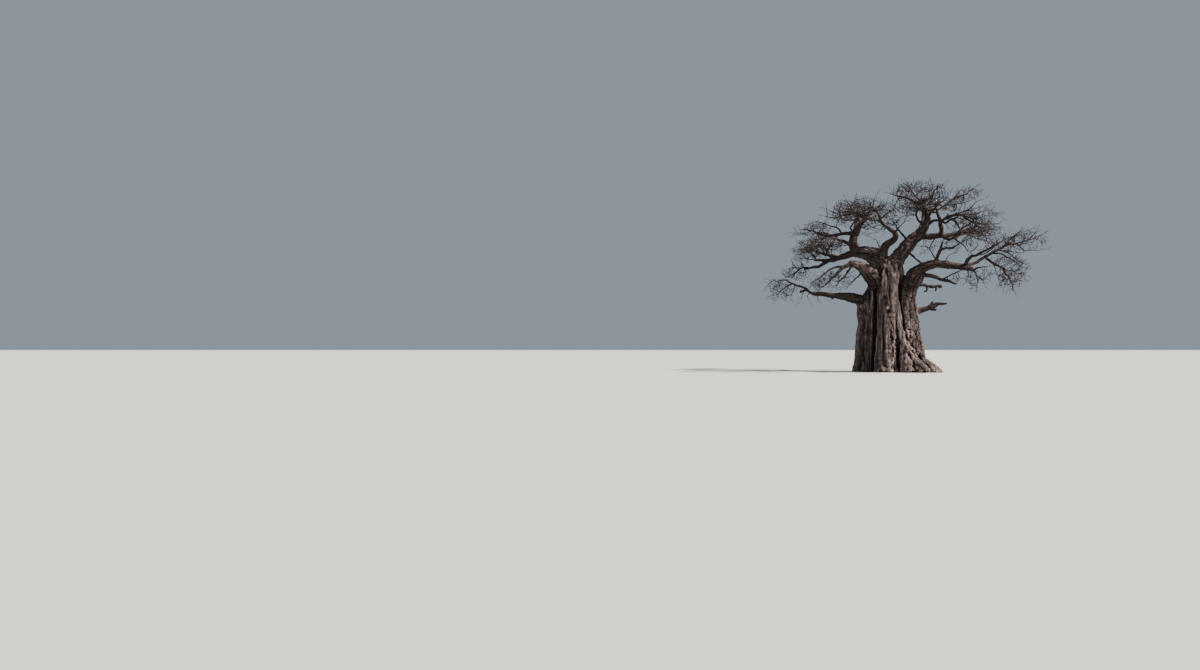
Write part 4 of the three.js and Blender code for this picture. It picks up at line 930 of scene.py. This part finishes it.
def scaly(across, up, depth):
    """1 where the bark breaks into scales: on the right stem, less on the middle one and round the back."""
    right = np.clip(1.45 - np.hypot((across - 1.6) / 0.7, (up - 2.6) / 2.3), 0, 1)
    middle = np.clip(1.3 - np.hypot((across - 0.1) / 0.4, (up - 2) / 2), 0, 1)
    return np.maximum(right, 0.6 * middle) * np.clip(1 - 0.6 * (depth - 0.1), 0.3, 1)


def from_front(place, normals):
    """Where each vertex shows from in front (across, up), and how much it faces there.

    Also how scaly the trunk's bark is there, and how much of the small relief it has."""
    depth = place[:, 1]
    spread = 1 + depth / VIEW_DISTANCE
    across = place[:, 0] / spread
    up = EYE_HEIGHT + (place[:, 2] - EYE_HEIGHT) / spread
    front = np.clip(-normals[:, 1] * 2 + 0.3, 0, 1) * (depth < 0.2)
    scales = scaly(across, up, depth)
    return across, up, front, scales, CALM + (1 - CALM) * np.clip(1.6 * scales, 0, 1)


def rough_bark(grain, sizes, detail):
    """Ribs, folds, lumps and cracks that run along the grain, of the sizes asked for."""
    ribs, narrow_ribs, fine_ribs, folds, swellings, lumps, ridges, knots, cracks = sizes
    along = grain * [1, 1, 0.17]
    lift = ribs * noise(along * 2.1, 3) + narrow_ribs * noise(along * 4.6, 4)
    lift += fine_ribs * noise(along * 9, 16)
    lift -= folds * creases(along * 1.9 + 0.25 * noise(grain * 2, 11)[:, None], 12)
    small = swellings * noise(grain * [1.8, 1.8, 1.5], 5) + lumps * noise(grain * [5, 5, 4], 6)
    small += ridges * (1 - np.abs(noise(grain * [4.2, 4.2, 1.9], 21))) ** 3
    small += (knots * np.clip(noise(grain * 2.3, 13) - 0.4, 0, 1)
              + 0.4 * lumps * noise(grain * [13, 13, 8], 41))
    return lift + detail * (small - cracks * creases(grain * [5, 5, 1.1], 15))


def far_from(line, across, up):
    """How far each place lies from a line through some points."""
    far = np.full(len(across), 9.0)
    for (x0, z0), (x1, z1) in zip(line, line[1:]):
        t = ((across - x0) * (x1 - x0) + (up - z0) * (z1 - z0)) / ((x1 - x0) ** 2 + (z1 - z0) ** 2)
        t = np.clip(t, 0, 1)
        far = np.minimum(far, np.hypot(across - x0 - t * (x1 - x0), up - z0 - t * (z1 - z0)))
    return far


def relief(place, grain, radius, trunk, view):
    """How far the bark stands out of the smooth skin. Trunk is 1 on the trunk and 0 on boughs."""
    across, up, front, scales, detail = view
    slender = np.clip(radius / 0.55, 0.3, 0.75)
    lift = trunk * rough_bark(place, TRUNK_BARK, detail)
    lift += (1 - trunk) * slender * rough_bark(grain * 1.8, BOUGH_BARK, 1)
    knobs = 1 - np.abs(noise(place * [6, 6, 4.6], 7))
    knobbly = trunk * scales * np.clip(radius / 0.3, 0.4, 1)
    lift += knobbly * (0.07 * knobs + 0.04 * noise(place * 10, 8))
    broad, narrow = creases(place * [4.2, 4.2, 2.6], 14), creases(place * [6.5, 6.5, 4.4], 17)
    lift -= knobbly * (0.09 * broad + 0.06 * narrow)
    for x, z, wide, out in MARKS:
        lift += out * front * np.exp(-((across - x) ** 2 + (up - z) ** 2) / wide**2)
    for wide, deep, line in CRACKS:
        ends = [np.hypot(across - x, up - z) for x, z in (line[0], line[-1])]
        faded = np.clip(np.minimum(*ends) / 0.7, 0, 1)
        lift -= deep * faded * front * np.exp(-((far_from(line, across, up) / wide) ** 2))
    return lift


def eased(lift, owner, trunk, edges):
    """The relief, smoothed along the borders between one bough's bark and the next."""
    border = np.zeros(len(lift))
    border[edges[owner[edges[:, 0]] != owner[edges[:, 1]]].ravel()] = 1
    border = np.clip(2 * smoothed(border, edges, rounds=3), 0, 1) * (1 - trunk)
    return (1 - border) * lift + border * smoothed(lift, edges, rounds=5)


def hollows(place, verts, normals, quads, edges, trunk, view):
    """Dark at 0 for painted shade in hollows and beneath, pale at 1 for painted light on what stands out or
    faces up.
    """
    across, up, front, scales, detail = view
    # Painted shade in hollows and creases, and painted highlights on what stands out, from the skin's
    # curvature.
    smooth = smoothed(verts, edges, rounds=45)
    proud = np.sum((verts - smooth) * vertex_normals(smooth, quads), axis=1)
    proud = trunk * proud / 0.1 + (1 - trunk) * (proud - smoothed(proud, edges, rounds=25)) / 0.18
    fine = np.sum((verts - smoothed(verts, edges, rounds=5)) * normals, axis=1)
    fine = np.clip(fine / 0.012, -1, 1)
    proud = proud * (1 + trunk * (detail - 1)) + 0.22 * fine * (0.5 + 0.5 * trunk * detail)
    flecks = noise(place * [8, 8, 5.5], 31)
    proud += 0.24 * trunk * scales * np.sign(flecks) * np.abs(flecks) ** 0.7
    patchy = 0.7 + 0.6 * noise(place * [5, 5, 2.2], 32)
    # Painted patches of sunlight, and of painted shade where the amount is below 0.
    for x, z, wide, tall, tone in PAINTED_LIGHT_AND_SHADE_PATCHES:
        proud += 1.5 * tone * front * patchy * np.exp(-(((across - x) / wide) ** 2) - ((up - z) / tall) ** 2)
    # Painted light where the bark faces up, and painted shade where it faces down.
    return np.clip(LEVEL_TONE + proud + PAINTED_LIGHT_FROM_ABOVE * normals[:, 2], 0, 1)


def bark_skin(look, boughs):
    """The trunk and boughs as one skin with the bark's relief, cut into four pieces."""
    limbs = skin_limbs(boughs)
    stems = len(STEMS + FOLDS)
    place, quads, edges = fuse(limbs)
    place = smoothed(place, edges, rounds=5, amount=0.5)
    _, radius, owner = grain_of(place, limbs)
    trunk = np.clip(2 * smoothed((owner < stems) * 1.0, edges, rounds=60) - 0.5, 0, 1)
    grain, _, owner = grain_of(place, limbs[stems:])
    normals = vertex_normals(place, quads)
    view = from_front(place, normals)
    lift = eased(relief(place, grain, radius, trunk, view), np.where(trunk < 1, owner, -1), trunk, edges)
    verts = smoothed(place + normals * lift[:, None], edges, rounds=1, amount=0.35)
    normals = vertex_normals(verts, quads)
    # Painted light and shade for the bark material, with random flecks.
    hollow = hollows(place, verts, normals, quads, edges, trunk, view)
    at_fork = np.clip((verts[:, 2] - FORK_FOOT) / FORK_HEIGHT, 0, 1)
    girth = trunk * (1 - 0.5 * at_fork) + (1 - trunk) * radius
    values = {"grain": grain, "hollow": hollow, "girth": smoothed(girth, edges, rounds=30),
              "place": place, "on_trunk": trunk}
    return skin_pieces(verts, normals, quads, values, look)


def skin_pieces(verts, normals, quads, values, look):
    """The skin in two pieces of the trunk, the lower one cut flat at its foot, and two of the boughs."""
    on_trunk = values["on_trunk"][quads].mean(1) > 0.5
    low = verts[quads, 2].mean(1) < TRUNK_SPLIT
    left = verts[quads, 0].mean(1) < 0
    pieces = []
    for name, part in (("bark_trunk_low", on_trunk & low), ("bark_trunk_high", on_trunk & ~low),
                       ("bark_boughs_left", ~on_trunk & left), ("bark_boughs_right", ~on_trunk & ~left)):
        used, local = np.unique(quads[part], return_inverse=True)
        o = mesh_object(name, verts[used], [local.reshape(-1, 4)], [look])
        write_attributes(o, **{key: value[used] for key, value in values.items()})
        o.data.normals_split_custom_set_from_vertices(normals[used])
        pieces.append(o)
    cut_foot(pieces[0])
    return pieces


def cut_foot(o):
    """The part below z = 0 is taken off, and the cut closed."""
    b = bmesh.new()
    b.from_mesh(o.data)
    everything = b.verts[:] + b.edges[:] + b.faces[:]
    cut = bmesh.ops.bisect_plane(
        b, geom=everything, plane_co=(0, 0, 0), plane_no=(0, 0, -1), clear_outer=True)
    rim = [e for e in cut["geom_cut"] if isinstance(e, bmesh.types.BMEdge)]
    bmesh.ops.holes_fill(b, edges=rim, sides=0)
    b.to_mesh(o.data)
    b.free()


def shape_of(mass, ways, seed):
    """Points of a mass for directions of a ball (length up to 1)."""
    at, half, tilt, narrow, arch = mass[:5]
    length = np.linalg.norm(ways, axis=1, keepdims=True)
    way = unit(ways)
    first = np.sin(3.1 * way[:, 0] + 1.7 * seed) * np.cos(2.9 * way[:, 1] - 0.9 * seed)
    second = np.sin(4.7 * way[:, 2] + 2.3 * seed + 2.1 * way[:, 0])
    lump = 1 + LUMP_DEPTH * (0.6 * first + 0.4 * second)
    end = 1 - narrow * way[:, 0]
    spot = np.column_stack([way[:, 0] * half[0], way[:, 1] * half[1] * end,
                            way[:, 2] * half[2] * end + arch * way[:, 0] ** 2])
    spot = spot * lump[:, None] * length
    a = math.radians(tilt)
    turned = np.column_stack([spot[:, 0] * math.cos(a) - spot[:, 2] * math.sin(a), spot[:, 1],
                              spot[:, 0] * math.sin(a) + spot[:, 2] * math.cos(a)])
    return seen(at) + turned


def growing_points(mass, seed, rng):
    """Places that a mass's branches grow towards: part of them in clumps, the rest spread out."""
    half, fill, floor = mass[1], mass[5], mass[7:]
    count = int(BALL * half[0] * half[1] * half[2] * fill)
    clumped = int(count * CLUMPED)
    others = count - clumped
    centres = unit(rng.normal(0, 1, (CLUMPS, 3))) * rng.uniform(*CLUMP_PLACES, (CLUMPS, 1))
    picked = centres[rng.integers(0, CLUMPS, clumped)] + rng.normal(0, CLUMP_WIDTH, (clumped, 3))
    spread = unit(rng.normal(0, 1, (others, 3))) * rng.uniform(0, SPREAD, (others, 1)) ** 0.5
    ways = np.vstack([picked, spread])
    ways = ways[np.linalg.norm(ways, axis=1) < OUTMOST]
    if floor:
        ways[:, 2] = np.where(ways[:, 2] < floor[0], -ways[:, 2], ways[:, 2])
    spots = shape_of(mass, ways, seed)
    low, high = (np.array(c) for c in CAD_BOX)
    spots = spots[np.all((spots > low + EDGE) & (spots < high - EDGE), axis=1)]
    _, first = np.unique(np.floor(spots / APART), axis=0, return_index=True)
    return spots[np.sort(first)]


def grow(targets, starts, rng):
    """Branches that grow from the starts towards the targets, a step at a time, each taking the nearest."""
    nodes = list(starts)
    parent = [-1] * len(starts)
    heading = [None] * len(starts)
    near = np.linalg.norm(targets[:, None] - starts[None], axis=2)
    nearest, gap = near.argmin(1), near.min(1)
    alive = np.ones(len(targets), bool)
    begun = [0] * len(starts)
    for _ in range(GROW_ROUNDS):
        alive &= gap > NEAR_ENOUGH
        pulled = np.flatnonzero(alive & (gap < REACH))
        if not len(pulled):
            if not alive.any():
                break
            pulled = np.flatnonzero(alive)[np.argsort(gap[alive])[:3]]
        start = len(nodes)
        for node in np.unique(nearest[pulled]):
            mine = pulled[nearest[pulled] == node]
            begun[node] += 1
            if begun[node] > MOST_BRANCHES:
                alive[mine] = False
                continue
            pulls = unit(targets[mine] - nodes[node])
            way = pulls.mean(0)
            if np.linalg.norm(way) < 0.35:
                way = pulls[gap[mine].argmin()]
            way = unit(way)
            if heading[node] is not None:
                way = way + KEEPING * heading[node]
            outward = unit(nodes[node] - CROWN_MIDDLE)
            way = unit(unit(way) + LEANING * outward + rng.normal(0, STRAYING, 3))
            nodes.append(nodes[node] + way * GROW_STEP)
            parent.append(int(node))
            heading.append(way)
            begun.append(0)
        if len(nodes) == start:
            continue
        fresh = np.linalg.norm(targets[:, None] - np.array(nodes[start:])[None], axis=2)
        closer = fresh.min(1) < gap
        nearest = np.where(closer, start + fresh.argmin(1), nearest)
        gap = np.minimum(gap, fresh.min(1))
        if start > len(starts) + MOST_NODES:
            break
    return np.array(nodes), np.array(parent)


def tips_carried(parent, roots):
    """How many tips each node carries."""
    tips = np.zeros(len(parent))
    has_child = np.zeros(len(parent), bool)
    has_child[parent[parent >= 0]] = True
    tips[~has_child] = 1
    for i in range(len(parent) - 1, roots - 1, -1):
        tips[parent[i]] += tips[i]
    return tips


def shoot(tubes, root, way, length, rng, look, twigs):
    """A gently bent shoot with smaller twigs to one side and the other of it."""
    rings = 5 if length > LONG_SHOOT else 4
    bend = rng.normal(0, 0.12, 3) + [0, 0, 0.05]
    points = [root]
    for _ in range(rings - 1):
        way = unit(way + bend + rng.normal(0, 0.1, 3))
        points.append(points[-1] + way * length / (rings - 1))
    points = np.array(points)
    tubes.add(points, np.linspace(SHOOT_RADIUS, SHOOT_RADIUS * 0.5, rings), 3, look)
    side = unit(np.cross(way, rng.normal(0, 1, 3)))
    for k in range(twigs):
        place = (rings - 1) * (k + rng.uniform(0.4, 0.95)) / twigs
        ring = int(place)
        along = points[ring + 1] - points[ring]
        spot = points[ring] + along * (place - ring)
        lean = side * (0.85 if k % 2 else -0.85) * rng.uniform(0.6, 1.2)
        turned = unit(unit(along) + lean + rng.normal(0, 0.2, 3))
        reach = length * (1 - 0.55 * place / (rings - 1)) * rng.uniform(0.4, 0.75)
        middle = spot + turned * reach * 0.5
        end = middle + unit(turned + rng.normal(0, 0.2, 3) + [0, 0, 0.08]) * reach * 0.5
        tubes.add(np.array([spot, middle, end]), np.array([0.75, 0.6, 0.4]) * SHOOT_RADIUS, 3, look)


def shoots_along(tubes, points, radii, often, rng, look):
    """Shoots at the steps of a branch where it is thin, and one on from its end."""
    ways = unit(np.diff(points, axis=0))
    for k in range(1, len(points)):
        if radii[k] > SHOOTS_BELOW:
            continue
        for _ in range(rng.poisson(often)):
            around = unit(rng.normal(0, 1, 3))
            around = unit(around - ways[k - 1] * np.dot(around, ways[k - 1]))
            outward = unit(points[k] - CROWN_MIDDLE)
            way = unit(ways[k - 1] * rng.uniform(0.5, 1.1) + around * 0.7 + outward * 0.4 + [0, 0, 0.1])
            shoot(tubes, points[k], way, rng.uniform(*SIDE_SHOOT), rng, look, rng.integers(1, 4))
    shoot(tubes, points[-1], ways[-1], rng.uniform(*END_SHOOT), rng, look, rng.integers(2, 5))


def fill_mass(mass, seed, limb_points, tubes, branch_tubes):
    """Branches and twigs of one mass, grown on from the limbs that reach it."""
    rng = np.random.default_rng(1000 + seed)
    reach = np.linalg.norm((limb_points - seen(mass[0])) / (np.array(mass[1]) * AROUND), axis=1)
    starts = limb_points[reach < 1]
    if len(starts) == 0:
        starts = limb_points[np.argsort(reach)[:2]]
    nodes, parent = grow(growing_points(mass, seed, rng), starts, rng)
    roots = len(starts)
    tips = tips_carried(parent, roots)
    radius = np.minimum(TIP_RADIUS * tips**0.5, MOST_RADIUS)
    children = [[] for _ in nodes]
    for i in range(roots, len(nodes)):
        children[parent[i]].append(i)
    look = rng.integers(0, len(TWIG_COLOURS))
    begun = [(i, parent[i]) for r in range(roots) for i in children[r]]
    while begun:
        first, below = begun.pop()
        chain = [below, first]
        while children[chain[-1]]:
            ranked = sorted(children[chain[-1]], key=lambda k: -tips[k])
            begun.extend((k, chain[-1]) for k in ranked[1:])
            chain.append(ranked[0])
        points = nodes[chain]
        radii = radius[chain].copy()
        radii[0] = radii[1]
        radii[-1] *= 0.7
        if rng.random() < COLOUR_CHANGES:
            look = rng.integers(0, len(TWIG_COLOURS))
        if radii[0] > BARKED_ABOVE:
            branch_tubes.add(points, radii, 6)
        else:
            tubes.add(points, radii, 4 if radii[0] > FOUR_SIDED else 3, look)
        shoots_along(tubes, points, radii, mass[6] * SHOOTS, rng, look)


def joined(points, radii, limb_points, free_end):
    """The branch with its foot, and its tip where that is thick and not free, led into the nearest limb.

    Also whether the tip ends free."""
    gaps = np.linalg.norm(limb_points - points[0], axis=1)
    points = np.vstack([limb_points[gaps.argmin()], points])
    radii = np.concatenate([radii[:1], radii])
    if radii[-1] > JOINING and not free_end:
        gaps = np.linalg.norm(limb_points - points[-1], axis=1)
        if gaps.min() < JOIN_REACH:
            points = np.vstack([points, limb_points[gaps.argmin()]])
            return points, np.append(radii, radii[-1]), False
    return points, radii, True


def lay_branches(boughs, branch_tubes, between):
    """The branches that show one by one, with a few shoots; returns their points."""
    rng = np.random.default_rng(3)
    samples = [points for points, _ in boughs]
    for number, rows in enumerate(BRANCHES + STUB_BITS):
        broken = number >= len(BRANCHES)
        points, radii, free = joined(*thin_branch(rows, number), np.vstack(samples), broken)
        if broken:
            points, radii = rounded(points, radii)
        samples.append(points)
        branch_tubes.add(points, radii, 8 if radii[0] > EIGHT_SIDED else 6)
        if free and not broken:
            shoots_along(between, points, radii, LONE_SHOOTS, rng, rng.integers(0, len(TWIG_COLOURS)))
    return samples[len(boughs):]


def lay_bough_ends(boughs, branch_tubes):
    """The ends of boughs that are too thin for the fused skin; returns the points of slender parts."""
    samples = []
    for points, radii in boughs:
        samples.append(points[radii < SLENDER])
        thin = np.flatnonzero(radii < THIN)
        if len(thin):
            first = max(thin[0] - 2, 0)
            if first == 0:
                radii = radii.copy()
                radii[:2] *= (0.45, 0.85)
            branch_tubes.add(*rounded(points[first:], radii[first:]), 10)
    return samples


def add_twigs(looks, limb_points, branch_tubes):
    """A mesh of twigs for each group of masses and the sprays that belong to it."""
    numbers = {name: i + 1 for i, name in enumerate(MASSES)}
    for group, names in TWIG_GROUPS.items():
        tubes = Tubes()
        for name in names:
            fill_mass(MASSES[name], numbers[name], limb_points, tubes, branch_tubes)
        for number, (owner, *spray) in enumerate(SPRAYS):
            if owner == group:
                fill_mass(spray, 50 + number, limb_points, tubes, branch_tubes)
        twigs = tubes.build(group, looks)
        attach(twigs, "root")
        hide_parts(*names)


def tree():
    bark = bark_material()
    boughs = [limb(rows, BOUGH_STEP, number + 40, BOUGH_UNEVEN)
              for number, rows in enumerate(BOUGHS.values())]
    skins = bark_skin(bark, boughs)
    for skin in skins:
        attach(skin, "root")
    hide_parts("trunk")
    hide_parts(*BOUGHS)

    looks = [plain(name, colour) for name, colour in TWIG_COLOURS.items()]
    branch_tubes, between = Tubes(), Tubes()
    samples = lay_branches(boughs, branch_tubes, between) + lay_bough_ends(boughs, branch_tubes)
    add_twigs(looks, np.vstack(samples), branch_tubes)
    between = between.build("twigs_between", looks)
    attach(between, "root")
    branches = branch_tubes.build("branches", [bark], barked=True)
    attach(branches, "root")


def lay_floor():
    bpy.ops.mesh.primitive_plane_add(size=FAR)
    floor = bpy.context.object
    floor.name = "floor"
    floor.data.materials.append(plain("floor", (0.6, 0.58, 0.55), 0.95))


def light():
    """Pale blue light from all round, and a warm sun half way up on the right."""
    world = bpy.data.worlds.new("studio")
    bpy.context.scene.world = world
    world.use_nodes = True
    background = world.node_tree.nodes["Background"]
    background.inputs["Color"].default_value = (0.66, 0.77, 0.9, 1)
    background.inputs["Strength"].default_value = 0.42
    sun = bpy.data.objects.new("sun", bpy.data.lights.new("sun", "SUN"))
    sun.data.energy = 10
    sun.data.angle = math.radians(3)
    sun.data.color = (1, 0.94, 0.86)
    sun.rotation_euler = SUN_FROM.to_track_quat("Z", "Y").to_euler()
    bpy.context.scene.collection.objects.link(sun)


def camera():
    c = bpy.data.objects.new("camera", bpy.data.cameras.new("camera"))
    c.data.lens = 24
    c.data.sensor_width = 36
    c.data.clip_end = FAR
    turn, pitch = math.radians(CAMERA_TURN), math.radians(CAMERA_PITCH)
    forward = Vector((-math.sin(turn) * math.cos(pitch), math.cos(turn) * math.cos(pitch), math.sin(pitch)))
    c.location = (*CAMERA_AT, EYE_HEIGHT)
    c.rotation_euler = forward.to_track_quat("-Z", "Y").to_euler()
    bpy.context.scene.collection.objects.link(c)
    bpy.context.scene.camera = c


lay_floor()
light()
camera()
tree()
